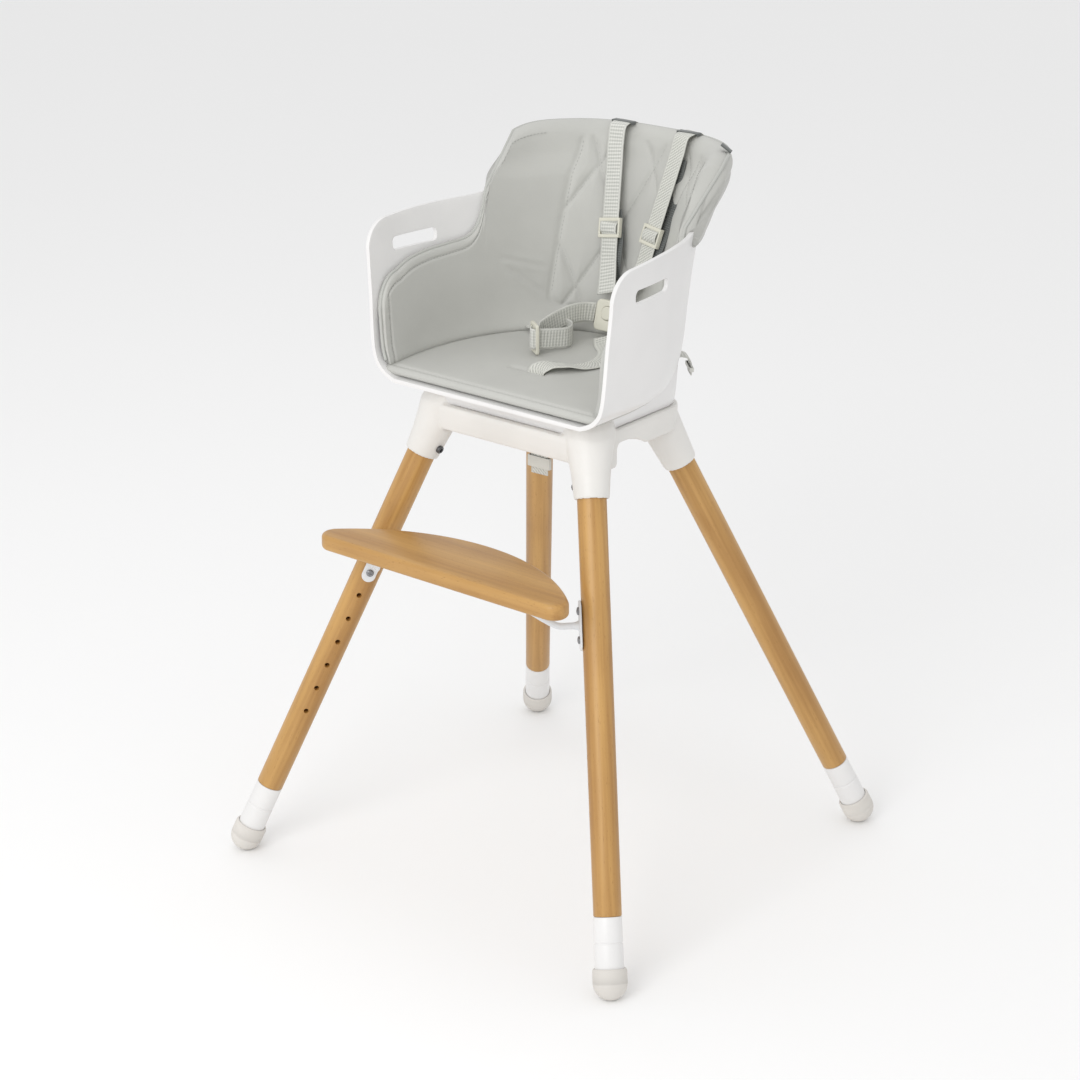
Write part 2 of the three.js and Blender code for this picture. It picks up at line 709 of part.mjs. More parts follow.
function guideGeometry(side) {
  const top = BOARD.low - GAP;
  const { arch, thick, wing } = GUIDE;
  const outline = [];
  const drop = top - ROD_Z;
  outline.push([-wing, top], [-arch, top]);
  for (let i = 0; i <= 8; i++) {
    const angle = Math.PI + (i / 8) * Math.PI;
    outline.push([arch * Math.cos(angle), top - drop + arch * Math.sin(angle)]);
  }
  outline.push([arch, top], [wing, top], [wing, top - thick], [arch + thick, top - thick]);
  for (let i = 0; i <= 8; i++) {
    const angle = -(i / 8) * Math.PI;
    outline.push([(arch + thick) * Math.cos(angle), top - drop + (arch + thick) * Math.sin(angle)]);
  }
  outline.push([-arch - thick, top - thick], [-wing, top - thick]);
  const shifted = outline.map(([y, z]) => [y + ROD_Y, z]);
  const x = side * GUIDE_X;
  const saddle = toSolid(sidePlate(shifted, x - GUIDE.length / 2, x + GUIDE.length / 2));
  const holes = [-1, 1].map((sign) => upright(2.1, x, ROD_Y + sign * GUIDE_SCREW.y, top - 5, top + 5));
  return toGeometry(cut(saddle, ...holes));
}

for (const [sideName, side] of SIDES) {
  add(`rod_saddle_${sideName}`, guideGeometry(side), 'painted');
  [['front', -1], ['rear', 1]].forEach(([place, sign]) => {
    const z = BOARD.low - GAP - GUIDE.thick - GAP;
    const screw = turned([[0, -2], [2.4, -1.6], [3.6, 0], [GUIDE_SCREW.r, 0], [GUIDE_SCREW.r, GUIDE.thick],
      [0, GUIDE.thick]], 10);
    screw.translate(side * GUIDE_X, ROD_Y + sign * GUIDE_SCREW.y, z);
    add(`saddle_screw_${place}_${sideName}`, screw, 'steel');
  });
}

// ---------------------------------------------------------------- liner cushions
const PAD_LOW = FLOOR_TOP + GAP;
const PAD_FRONT = { y: LIP_Y + 5, z: 632.5 };         // top of the seat pad at its front edge
const PAD_REAR = { y: 90, z: 641 };                   // and where it meets the back
const WING = 9;                                       // padding at the sides
const BACK_PAD = { low: 14, high: 9 };                // padding at the middle of the back
const LINER_TOP = 872;
const HOOD_TOP = 881;
// How far the hood stands outside the shell at rising heights, at the sides and at the back,
// and how much fuller its corners are.
const HOOD_SECTIONS = [
  [790, 5, 9, 0],
  [815, 8, 9, 0.1],
  [850, 10, 8, 0.25],
  [866, 9, 7, 0.3],
  [875, 5, 4, 0.3],
  [HOOD_TOP, -3, -3, 0.2],
];
const SKIN = SHELL_WALL + 0.9;

// Height of the seat pad's top at a distance along the chair.
function padTop(y) {
  const u = (y - PAD_FRONT.y) / (PAD_REAR.y - PAD_FRONT.y);
  return PAD_FRONT.z + (PAD_REAR.z - PAD_FRONT.z) * u;
}

// Side outlines in [y, z] of the liner's back with its wings, and of the hood on the shell.
const LINER_OUTLINE = [
  [-138, padTop(-138) + GAP],
  [-142, 700],
  [-138, 722],
  [-122, 737],
  [-85, 747],
  [-26, 753],
  [6, 759],
  [22, 778],
  [30, 802],
  [38, 830],
  [50, 853],
  [68, 868],
  [90, LINER_TOP],
  [240, LINER_TOP],
  [240, padTop(240) + GAP],
];

const HOOD_OUTLINE = [
  [60, 818],
  [64, 842],
  [72, 862],
  [84, 876],
  [104, HOOD_TOP],
  [260, HOOD_TOP],
  [260, 792],
  [110, 792],
  [78, 804],
];

function linerCavity() {
  return bucketSolid(PAD_LOW, 889.8, SKIN + WING, SKIN + BACK_PAD.high, SKIN + BACK_PAD.low);
}

function seatCushionGeometry() {
  const block = bucketSolid(PAD_LOW, 660, SHELL_WALL + 1.2);
  const front = PAD_FRONT.y;
  const outline = [[front, 600], [240, 600], [240, padTop(240)], [front, padTop(front)]];
  const keep = toSolid(sidePlate(outline, -220, 220));
  return toGeometry(cut(block.intersect(keep), crotchSlot(600, 700, 28, 5)));
}

function backCushionGeometry() {
  const block = bucketSolid(PAD_LOW + 5, LINER_TOP + 0.1, SKIN);
  const keep = toSolid(sidePlate(LINER_OUTLINE, -220, 220));
  return toGeometry(cut(block.intersect(keep), linerCavity(), waistSlot(-1, 5), waistSlot(1, 5)));
}

function hoodGeometry() {
  const block = toSolid(loft(HOOD_SECTIONS.map(([z, side, back, fuller]) => (
    bucketLoop(z, -side, -back, fuller)
  ))));
  const keep = toSolid(sidePlate(HOOD_OUTLINE, -220, 220));
  const raised = SHELL_OUTLINE.map(([y, z]) => [y, z > 700 ? z + 0.6 : z]);
  const shellRoom = bucketSolid(700, 889, -0.6).intersect(toSolid(sidePlate(raised, -220, 220)));
  const linerRoom = bucketSolid(700, LINER_TOP + 0.5, SHELL_WALL - 0.1);
  return toGeometry(cut(block.intersect(keep), linerCavity(), shellRoom, linerRoom));
}

add('seat_cushion', seatCushionGeometry(), 'leather');
add('back_cushion', backCushionGeometry(), 'leather');
add('cushion_hood', hoodGeometry(), 'leather');

// ---------------------------------------------------------------- harness
const V = (x, y, z) => new THREE.Vector3(x, y, z);
const ACROSS = V(1, 0, 0);
const UP = V(0, 0, 1);

// The harness hangs a little to one side. Straight stretch of the left shoulder strap, from
// its upper to its lower end.
const HANG_X = 1;
const STRAP_HIGH = V(-46, 156, 862);
const STRAP_LOW = V(-25.5, 115, 726);
const SLIDER_AT = 0.72;                               // along the straight stretch, from its top
const BUCKLE = { x: HANG_X, y: 86, z: 668, width: 36, height: 38, thick: 13, lean: 0.26 };

const STRAP_TURN = { '-1': 0.05, 1: 0.24 };           // how far each strap faces inwards
const CREST = { x: 48.8, y: 175.5, z: HOOD_TOP + GAP };

const mirror = (p, side) => V(-p.x * side, p.y, p.z);
const strapAcross = (side) => V(Math.cos(STRAP_TURN[side]), -Math.sin(STRAP_TURN[side]), 0);
const hang = (p, side) => mirror(p, side).add(V(HANG_X, 0, 0));

// The strap comes up behind the hood, passes over its top edge and runs down to the buckle.
function shoulderStrap(side) {
  const over = [
    V(-50, 195, 846),
    V(-50, 195, 867),
    V(-50, 192.5, 878),
    V(-49.5, 185.5, 882.8),
    V(-48, 165.5, 882.8),
    V(-47.5, 160.5, 878.5),
  ].map((p) => mirror(p, side));
  const high = mirror(STRAP_HIGH, side);
  const low = hang(STRAP_LOW, side);
  const straight = [];
  for (let i = 0; i <= 5; i++) straight.push(high.clone().lerp(low, i / 5));
  const down = [hang(V(-18, 104, 706), side), hang(V(-12, 94.5, 691.5), side)];
  return ribbon([...over, ...straight, ...down], strapAcross(side));
}

// Sewn loops on the hood's top edge keep the shoulder straps apart.
function crestLoop(side) {
  const { x, y, z } = CREST;
  const rise = WEB.thick + 3 * GAP;
  const block = placedBox(WEB.width + 6, 9, rise + 1.2, side * x, y, z + (rise + 1.2) / 2);
  const room = placedBox(WEB.width + 3.2, 10, rise, side * x, y, z + rise / 2);
  return toGeometry(cut(block, room));
}

// A three-bar slider: the webbing runs in front of its middle bar and behind the other two.
function sliderGeometry() {
  const wide = 32;
  const tall = 24;
  const depth = 6.4;
  const slit = WEB.thick / 2 + 0.5;
  const bar = 4;
  const block = toSolid(new THREE.BoxGeometry(wide, depth, tall));
  const inside = wide - 2 * 2.6;
  const channel = toSolid(new THREE.BoxGeometry(inside, slit * 2, tall + 2));
  const window = new THREE.BoxGeometry(inside, depth, tall - 2 * bar);
  window.translate(0, -depth / 2 - slit + 0.01, 0);
  const rear = [-1, 1].map((sign) => {
    const opening = new THREE.BoxGeometry(inside, depth, (tall - bar) / 2);
    opening.translate(0, depth / 2 + slit - 0.01, sign * ((tall - bar) / 4 + bar / 2));
    return toSolid(opening);
  });
  return toGeometry(cut(block, channel, toSolid(window), ...rear));
}

function sliderFrame(side) {
  const high = mirror(STRAP_HIGH, side);
  const low = hang(STRAP_LOW, side);
  const z = high.clone().sub(low).normalize();
  const across = strapAcross(side);
  const x = across.clone().addScaledVector(z, -z.dot(across)).normalize();
  const y = new THREE.Vector3().crossVectors(z, x);
  return new THREE.Matrix4().makeBasis(x, y, z).setPosition(high.lerp(low, SLIDER_AT));
}

function placedBox(x, y, z, cx = 0, cy = 0, cz = 0) {
  const box = new THREE.BoxGeometry(x, y, z);
  box.translate(cx, cy, cz);
  return toSolid(box);
}

const buckleFrame = new THREE.Matrix4().makeRotationX(-BUCKLE.lean).setPosition(BUCKLE.x, BUCKLE.y, BUCKLE.z);
const BUTTON = { r: 8.5, up: 3, high: 1.8, travel: 3 };
const TONGUE = { width: 24, thick: 4, inside: 9, outside: 3 };

function buckleBody() {
  const { width, height, thick } = BUCKLE;
  const bevel = 2.5;
  const body = new THREE.ExtrudeGeometry(roundedRectangle(width - 2, height - 2, 5), {
    depth: thick - 2 * bevel,
    bevelThickness: bevel,
    bevelSize: 1,
    bevelSegments: 1,
    curveSegments: 3,
  });
  body.rotateX(Math.PI / 2);
  body.translate(0, thick / 2 - bevel, 0);
  const well = rod(BUTTON.r + 0.4, BUTTON.r + 0.4, 0, thick);
  well.rotateX(Math.PI / 2);
  well.translate(0, -thick / 2 + BUTTON.travel + 3.5, BUTTON.up);
  const pockets = SIDES.map(([, side]) => placedBox(
    TONGUE.inside * 2,
    TONGUE.thick + 2 * GAP,
    TONGUE.width + 2 * GAP,
    side * width / 2,
    2.6,
    0,
  ));
  return toGeometry(cut(toSolid(body), toSolid(well), ...pockets));
}

function buttonGeometry() {
  const { r, high, travel } = BUTTON;
  const low = -BUCKLE.thick / 2 + travel + GAP;
  const button = turned([[0, -low], [r - 1.5, -low], [r, -low + 0.8], [r, BUCKLE.thick / 2 + high - 1.2],
    [r - 1.2, BUCKLE.thick / 2 + high], [0, BUCKLE.thick / 2 + high - 0.6]]);
  button.rotateX(Math.PI / 2);
  button.translate(0, 0, BUTTON.up);
  return button;
}

function tongueGeometry(side) {
  const length = TONGUE.inside + TONGUE.outside - GAP;
  const centre = side * (BUCKLE.width / 2 - TONGUE.inside + GAP + length / 2);
  return toGeometry(placedBox(length, TONGUE.thick, TONGUE.width, centre, 2.6, 0));
}

add('buckle_body', buckleBody(), 'buckle', buckleFrame);
add('buckle_button', buttonGeometry(), 'buckle', buckleFrame);

// Each waist strap leaves the buckle on edge, folds back round the middle bar of its
// adjuster and runs out through the slot in the shell. The left one lies slack on the seat.
const ADJUSTER = {
  height: 36,
  width: 27,
  thick: 3.6,
  slot: 7,
  slotAt: 6.6,
  left: { place: V(-33, -15, 658.5), turn: 0.95 },
  right: { place: V(86, 24, 661), turn: -0.95 },
};

const WAIST_ROUTE = {
  left: {
    near: [[-21.5, 87, 668], [-28, 78, 670], [-34, 55, 671], [-39, 26, 666], [-39, 4, 661]],
    far: [[-16, 4, 656.5], [-11, 22, 655], [-22, 42, 655], [-46, 52, 654], [-68, 53, 651], [-83, 53.5, 645.5],
      [-90, 58.5, 643.9]],
  },
  right: {
    near: [[23.5, 87, 668], [38, 84, 669], [60, 68, 668], [80, 52, 664], [90, 40, 662]],
    far: [[74, 36, 658], [64, 44, 656], [67, 51, 654], [77, 51, 650], [85, 54.5, 645], [90, 58.5, 643.9]],
  },
};

function adjusterAxes(sideName, side) {
  const { turn } = ADJUSTER[sideName];
  const along = V(-Math.sin(turn), Math.cos(turn), 0);
  const front = new THREE.Vector3().crossVectors(UP, along).multiplyScalar(-side);
  return { along, front };
}

function waistStrap(sideName, side) {
  const { place } = ADJUSTER[sideName];
  const { along, front } = adjusterAxes(sideName, side);
  const fold = [[1, -6], [1, 0], [0.55, 4.6], [-0.55, 4.6], [-1, 0], [-1, -6]].map(([a, f]) => (
    place.clone().addScaledVector(along, a * ADJUSTER.slotAt).addScaledVector(front, f)
  ));
  const { near, far } = WAIST_ROUTE[sideName];
  const out = [[98, 66.7, 643.5], [105, 74, 643.5], [112, 81.3, 643.5], [116.5, 86.5, 641], [118.5, 90, 634],
    [118.5, 90, 628], [118.5, 90, 620]].map(([x, y, z]) => [x * side, y, z]);
  const route = smooth([...near, ...fold.map((p) => p.toArray()), ...far, ...out], 60);
  const slotAcross = V(-WAIST_OUT.y, WAIST_OUT.x * side, 0).multiplyScalar(side);
  const across = route.map((p) => {
    const flat = p.z < 655.5 ? THREE.MathUtils.smoothstep(Math.abs(p.x), 52, 80) : 0;
    return UP.clone().multiplyScalar(1 - flat).addScaledVector(slotAcross, flat);
  });
  return ribbon(route, across);
}

function adjusterGeometry() {
  const { height, width, thick, slot, slotAt } = ADJUSTER;
  const frame = toSolid(slab(roundedRectangle(height, width, 3), thick));
  const slots = [-1, 1].map((sign) => {
    const opening = slab(roundedRectangle(height - 7.5, slot, 1.5), 10, 1);
    opening.translate(0, sign * slotAt, -3);
    return toSolid(opening);
  });
  const geometry = toGeometry(cut(frame, ...slots));
  geometry.translate(0, 0, -thick / 2);
  return geometry;
}

function adjusterFrame(sideName, side) {
  const { along } = adjusterAxes(sideName, side);
  const normal = new THREE.Vector3().crossVectors(UP, along);
  return new THREE.Matrix4().makeBasis(UP, along, normal).setPosition(ADJUSTER[sideName].place);
}

// The crotch strap comes up through the seat, lies in a slack curve and ends under the buckle.
function crotchStrap() {
  const { x, y } = CROTCH;
  const route = smooth([
    [x + 7, y, 512],
    [x + 6.6, y, 530],
    [x + 4, y, 560],
    [x, y, 600],
    [x, y, 628],
    [x + 1, y + 3, 639],
    [17, -54, 643.5],
    [30, -41, 643.5],
    [44, -26, 640.5],
    [52, -6, 640],
    [48, 18, 640.5],
    [36, 38, 641.5],
    [18, 54, 644],
    [8, 66, 648],
  ], 44);
  return ribbon(route, ACROSS);
}

// A flat buckle that stops a strap's tail from pulling back through its slot. The webbing runs
// through it along local Z.
function stopGeometry(height) {
  const block = placedBox(WEB.width + 8, 5, height);
  return toGeometry(cut(block, placedBox(WEB.width + 1.2, WEB.thick + 0.8, height + 1)));
}

for (const [sideName, side] of SIDES) {
  add(`buckle_tongue_${sideName}`, tongueGeometry(side), 'buckle', buckleFrame);
  add(`shoulder_strap_${sideName}`, shoulderStrap(side), 'webbing');
  add(`strap_loop_${sideName}`, crestLoop(side), 'tab');
  add(`strap_slider_${sideName}`, sliderGeometry(), 'buckle', sliderFrame(side));
  add(`waist_strap_${sideName}`, waistStrap(sideName, side), 'webbing');
  add(`waist_adjuster_${sideName}`, adjusterGeometry(), 'buckle', adjusterFrame(sideName, side));
  const across = V(-WAIST_OUT.y, WAIST_OUT.x * side, 0).multiplyScalar(side);
  const stopFrame = new THREE.Matrix4()
    .makeBasis(across, new THREE.Vector3().crossVectors(UP, across), UP)
    .setPosition(118.5 * side, 90, 627.5);
  add(`waist_stop_${sideName}`, stopGeometry(5), 'tab', stopFrame);
}
add('crotch_strap', crotchStrap(), 'webbing');
const crotchStopFrame = new THREE.Matrix4().makeTranslation(CROTCH.x + 6.7, CROTCH.y, 527);
add('crotch_stop', stopGeometry(14), 'tab', crotchStopFrame);

// A folded ribbon sewn into the hood's corner, to pull the liner off the shell by.
const tabAlong = V(0.72, 0.35, -0.6).normalize();
const tabAcross = V(-0.44, 0.9, 0).normalize();
const tabFace = new THREE.Vector3().crossVectors(tabAlong, tabAcross);
const tabFrame = new THREE.Matrix4().makeBasis(tabAlong, tabAcross, tabFace).setPosition(133, 134, 885);
add('hood_tab', toGeometry(placedBox(15, 11, 1.8)), 'tab', tabFrame);

export default model;
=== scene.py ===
# %% [markdown]
# # A baby high chair
# A moulded bucket seat stands on four splayed beech legs. A padded liner hangs over its back,
# a five-point harness lies in it, and a wooden footrest is screwed to the front legs.
# The CAD frame gives every piece its place. Here each one gets its finished form and surface.

# %% Load the frame
import math

import bmesh
import bpy
import numpy as np
from mathutils import Matrix, Vector


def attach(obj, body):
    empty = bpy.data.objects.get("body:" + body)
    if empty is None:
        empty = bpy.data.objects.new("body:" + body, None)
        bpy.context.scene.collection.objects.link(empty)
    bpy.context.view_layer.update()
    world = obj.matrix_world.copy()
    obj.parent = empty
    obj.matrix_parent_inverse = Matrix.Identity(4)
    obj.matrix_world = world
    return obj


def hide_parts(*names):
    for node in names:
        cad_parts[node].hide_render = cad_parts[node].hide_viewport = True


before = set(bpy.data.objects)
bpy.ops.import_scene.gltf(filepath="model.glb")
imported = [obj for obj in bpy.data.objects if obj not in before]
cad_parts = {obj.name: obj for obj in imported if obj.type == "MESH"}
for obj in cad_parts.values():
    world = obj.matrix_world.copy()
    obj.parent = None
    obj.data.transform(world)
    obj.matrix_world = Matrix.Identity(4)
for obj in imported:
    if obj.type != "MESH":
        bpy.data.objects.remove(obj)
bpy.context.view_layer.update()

MM = 0.001
SIDES = {"left": -1, "right": 1}


def new_object(name, verts, faces, uvs=None, smooth=True):
    """A mesh object from points in millimetres. uvs has one pair for each point."""
    mesh = bpy.data.meshes.new(name)
    mesh.from_pydata([tuple(float(c) * MM for c in v) for v in verts], [], faces)
    mesh.update()
    if uvs is not None:
        layer = mesh.uv_layers.new(name="strip")
        loops = np.zeros(len(mesh.loops), np.int32)
        mesh.loops.foreach_get("vertex_index", loops)
        layer.data.foreach_set("uv", np.asarray(uvs, np.float32)[loops].ravel())
    mesh.polygons.foreach_set("use_smooth", [smooth] * len(mesh.polygons))
    piece = bpy.data.objects.new(name, mesh)
    bpy.context.scene.collection.objects.link(piece)
    return piece


def ring_faces(rows, count):
    """Quads between rings of `count` points, with the first and last ring capped."""
    faces = []
    for row in range(rows - 1):
        this, above = row * count, (row + 1) * count
        for i in range(count):
            j = (i + 1) % count
            faces.append((this + i, this + j, above + j, above + i))
    faces.append(tuple(range(count - 1, -1, -1)))
    faces.append(tuple((rows - 1) * count + i for i in range(count)))
    return faces


def lofted(name, rings, smooth=True):
    """A closed skin through rings that have the same number of points."""
    return new_object(name, np.concatenate(rings), ring_faces(len(rings), len(rings[0])), smooth=smooth)


def turned(name, profile, facets=56):
    """A solid about local Z from a profile of (radius, z), which starts and ends near the axis."""
    angles = np.linspace(0, 2 * np.pi, facets, endpoint=False)
    circle = np.stack([np.cos(angles), np.sin(angles)], 1)
    rings = [np.column_stack([circle * max(r, 0.02), np.full(facets, z)]) for r, z in profile]
    return lofted(name, rings)


def rounded(profile, radius, steps=3):
    """The profile with each of its corners cut by a small arc."""
    points = [np.array(p, float) for p in profile]
    out = [points[0]]
    for before, corner, after in zip(points, points[1:], points[2:]):
        a, b = before - corner, after - corner
        reach = min(radius, 0.45 * np.linalg.norm(a), 0.45 * np.linalg.norm(b))
        start = corner + a / np.linalg.norm(a) * reach
        end = corner + b / np.linalg.norm(b) * reach
        for k in range(steps + 1):
            u = k / steps
            out.append((1 - u) ** 2 * start + 2 * u * (1 - u) * corner + u * u * end)
    out.append(points[-1])
    return out


def modified(piece, kind, **settings):
    """Adds a modifier and applies it."""
    modifier = piece.modifiers.new(kind.lower(), kind)
    for key, value in settings.items():
        setattr(modifier, key, value)
    evaluated = piece.evaluated_get(bpy.context.evaluated_depsgraph_get())
    mesh = bpy.data.meshes.new_from_object(evaluated)
    piece.modifiers.clear()
    old, piece.data = piece.data, mesh
    bpy.data.meshes.remove(old)
    return piece


def cut(piece, *tools, operation="DIFFERENCE"):
    """Takes each tool away from the piece, or adds it with operation="UNION"."""
    for tool in tools:
        modified(piece, "BOOLEAN", operation=operation, object=tool, solver="EXACT")
        bpy.data.objects.remove(tool)
    return piece


def bevelled(piece, width, segments=2, angle=35, sharp=30):
    """Rounds every edge that turns more than `angle` degrees."""
    modified(piece, "BEVEL", width=width * MM, segments=segments, limit_method="ANGLE",
             angle_limit=math.radians(angle), harden_normals=False)
    for polygon in piece.data.polygons:
        polygon.use_smooth = True
    piece.data.set_sharp_from_angle(angle=math.radians(sharp))
    return piece


def copy_of(node, bevel, segments=2):
    """A CAD node's own shape with its flats merged and its edges eased."""
    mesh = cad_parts[node].data.copy()
    piece = bpy.data.objects.new(f"{node}_shape", mesh)
    bpy.context.scene.collection.objects.link(piece)
    mesh.materials.clear()
    shape = bmesh.new()
    shape.from_mesh(mesh)
    bmesh.ops.remove_doubles(shape, verts=shape.verts, dist=1e-6)
    bmesh.ops.dissolve_limit(shape, angle_limit=math.radians(1), verts=shape.verts, edges=shape.edges)
    shape.to_mesh(mesh)
    shape.free()
    return bevelled(piece, bevel, segments)


def joined(name, *pieces):
    """One object from several, each brought in where it stands."""
    shape = bmesh.new()
    for piece in pieces:
        start = len(shape.verts)
        shape.from_mesh(piece.data)
        shape.verts.ensure_lookup_table()
        bmesh.ops.transform(shape, matrix=piece.matrix_world, verts=shape.verts[start:])
    mesh = bpy.data.meshes.new(name)
    shape.to_mesh(mesh)
    shape.free()
    mesh.polygons.foreach_set("use_smooth", [True] * len(mesh.polygons))
    for piece in pieces:
        bpy.data.objects.remove(piece)
    piece = bpy.data.objects.new(name, mesh)
    bpy.context.scene.collection.objects.link(piece)
    return piece


def rounded_outline(width, height, radius, steps=6):
    """Corner points of a rounded rectangle, counter-clockwise."""
    points = []
    for cx, cy, start in ((1, -1, -90), (1, 1, 0), (-1, 1, 90), (-1, -1, 180)):
        for k in range(steps + 1):
            a = math.radians(start + 90 * k / steps)
            points.append((cx * (width / 2 - radius) + radius * math.cos(a),
                           cy * (height / 2 - radius) + radius * math.sin(a)))
    return np.array(points)


def prism(name, outline, z0, z1):
    """An outline in (x, y), drawn out from z0 to z1."""
    rings = [np.column_stack([outline, np.full(len(outline), z)]) for z in (z0, z1)]
    return lofted(name, rings, smooth=False)


def distance_along(points):
    """How far along a line of points each one lies."""
    return np.concatenate([[0], np.cumsum(np.linalg.norm(np.diff(points, axis=0), axis=1))])


def curve_through(points, count):
    """Points along a smooth line through a few given ones, evenly spaced."""
    p = np.array(points, float)
    chord = np.concatenate([[0], np.cumsum(np.linalg.norm(np.diff(p, axis=0), axis=1) ** 0.5)])
    p = np.vstack([2 * p[0] - p[1], p, 2 * p[-1] - p[-2]])
    chord = np.concatenate([[chord[0] - (chord[1] - chord[0])], chord, [2 * chord[-1] - chord[-2]]])
    dense = []
    for i in range(1, len(p) - 2):
        t0, t1, t2, t3 = chord[i - 1:i + 3]
        for t in np.linspace(t1, t2, 24, endpoint=False):
            a1 = p[i - 1] * (t1 - t) / (t1 - t0) + p[i] * (t - t0) / (t1 - t0)
            a2 = p[i] * (t2 - t) / (t2 - t1) + p[i + 1] * (t - t1) / (t2 - t1)
            a3 = p[i + 1] * (t3 - t) / (t3 - t2) + p[i + 2] * (t - t2) / (t3 - t2)
            b1 = a1 * (t2 - t) / (t2 - t0) + a2 * (t - t0) / (t2 - t0)
            b2 = a2 * (t3 - t) / (t3 - t1) + a3 * (t - t1) / (t3 - t1)
            dense.append(b1 * (t2 - t) / (t2 - t1) + b2 * (t - t1) / (t2 - t1))
    dense = np.array(dense + [p[-2]])
    run = distance_along(dense)
    at = np.linspace(0, run[-1], count)
    return np.stack([np.interp(at, run, dense[:, k]) for k in range(3)], 1)


def unit(v):
    v = np.asarray(v, float)
    return v / np.linalg.norm(v, axis=-1, keepdims=True)


def tube(name, points, radius, sides=16):
    """A round rod or cord along the points. radius is one number or one for each point."""
    p = np.array(points, float)
    along = unit(np.gradient(p, axis=0))
    side = unit(np.cross(along[0], (0.3, 0.2, 1.0)))
    angles = np.linspace(0, 2 * np.pi, sides, endpoint=False)
    radii = np.broadcast_to(radius, len(p))
    rings = []
    for point, t, r in zip(p, along, radii):
        side = unit(side - t * side.dot(t))
        other = np.cross(t, side)
        rings.append(point + r * (np.outer(np.cos(angles), side) + np.outer(np.sin(angles), other)))
    return lofted(name, rings)


WEB = (25.0, 1.6)
WEB_SECTION = (0.55, 1, 1, 1, 1, 1, 1, 1, 0.55)


def strip(name, points, across, width=WEB[0], thick=WEB[1]):
    """Flat webbing with soft edges. Its UV runs across and along the strip, in millimetres."""
    p = np.array(points, float)
    across = np.broadcast_to(np.asarray(across, float), p.shape)
    along = unit(np.gradient(p, axis=0))
    side = unit(across - along * np.sum(across * along, 1, keepdims=True))
    face = np.cross(along, side)
    half, deep = width / 2, thick / 2
    cells = np.linspace(-1, 1, len(WEB_SECTION))
    top = [(c * half, share * deep) for c, share in zip(cells, WEB_SECTION)]
    low = [(c, -d) for c, d in reversed(top)]
    section = np.array(top + low)[::-1]
    rings, uvs = [], []
    for point, s, f, run in zip(p, side, face, distance_along(p)):
        rings.append(point + np.outer(section[:, 0], s) + np.outer(section[:, 1], f))
        uvs.extend((c, run) for c in section[:, 0])
    return new_object(name, np.concatenate(rings), ring_faces(len(rings), len(section)), uvs=uvs)


def finish_piece(piece, paint, body="chair", replaces=()):
    """Gives a piece its surface and the body that it moves with."""
    piece.data.materials.clear()
    piece.data.materials.append(paint)
    if replaces:
        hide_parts(*replaces)
    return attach(piece, body)


# %% [markdown]
# ## Surfaces
# Each surface is worked out from the piece's own coordinates, so its grain has a real size.
# A small class writes the sums: arithmetic on a value adds the nodes that compute it.

# %% A way to write shader sums
class Value:
    """One output in a material. Python arithmetic on it adds Math nodes."""

    def __init__(self, paint, socket):
        self.paint, self.socket = paint, socket

    def math(self, operation, *others):
        names = ["Value", "Value_001", "Value_002"]
        return self.paint.node("ShaderNodeMath", {"operation": operation},
                               dict(zip(names, (self, *others))), by_identifier=True)

    def __add__(self, other):
        return self.math("ADD", other)

    def __sub__(self, other):
        return self.math("SUBTRACT", other)

    def __rsub__(self, other):
        return self * -1 + other

    def __mul__(self, other):
        return self.math("MULTIPLY", other)

    def __truediv__(self, other):
        return self.math("DIVIDE", other)

    __radd__, __rmul__ = __add__, __mul__

    def sine(self):
        return self.math("SINE")

    def size(self):
        return self.math("ABSOLUTE")

    def smooth(self, low, high):
        return self.paint.node("ShaderNodeMapRange", {"interpolation_type": "SMOOTHSTEP", "clamp": True},
                               {"Value": self, "From Min": low, "From Max": high})


class Paint:
    """A principled material that is built one node at a time."""

    def __init__(self, name, **constants):
        self.material = bpy.data.materials.new(name)
        self.material.use_nodes = True
        self.nodes = self.material.node_tree.nodes
        self.links = self.material.node_tree.links
        self.shader = next(n for n in self.nodes if n.type == "BSDF_PRINCIPLED")
        for key, value in constants.items():
            self.shader.inputs[key.replace("_", " ")].default_value = value
        self.coordinates = self.nodes.new("ShaderNodeTexCoord")

    def node(self, kind, settings, inputs, by_identifier=False):
        made = self.nodes.new(kind)
        for key, value in settings.items():
            setattr(made, key, value)
        for key, value in inputs.items():
            if by_identifier:
                socket = next(s for s in made.inputs if s.identifier == key)
            else:
                socket = next(s for s in made.inputs if s.name == key and s.enabled)
            if isinstance(value, Value):
                self.links.new(value.socket, socket)
            else:
                socket.default_value = value
        return Value(self, next(s for s in made.outputs if s.enabled))

    def place(self, scale=(1, 1, 1), source="Object"):
        point = Value(self, self.coordinates.outputs[source])
        return self.node("ShaderNodeMapping", {}, {"Vector": point, "Scale": scale})

    def noise(self, point, scale, detail=3.0, roughness=0.55):
        return self.node("ShaderNodeTexNoise", {},
                         {"Vector": point, "Scale": scale, "Detail": detail, "Roughness": roughness})

    def cells(self, point, scale):
        return self.node("ShaderNodeTexVoronoi", {}, {"Vector": point, "Scale": scale})

    def blend(self, share, low, high):
        return self.node("ShaderNodeMix", {"data_type": "RGBA"}, {"Factor": share, "A": low, "B": high})

    def parts(self, point):
        first = self.node("ShaderNodeSeparateXYZ", {}, {"Vector": point})
        outputs = first.socket.node.outputs
        return [Value(self, outputs[k]) for k in range(3)]

    def bump(self, height, strength, distance):
        return self.node("ShaderNodeBump", {},
                         {"Height": height, "Strength": strength, "Distance": distance})

    def set(self, **values):
        for key, value in values.items():
            self.links.new(value.socket, self.shader.inputs[key.replace("_", " ")])
        return self.material


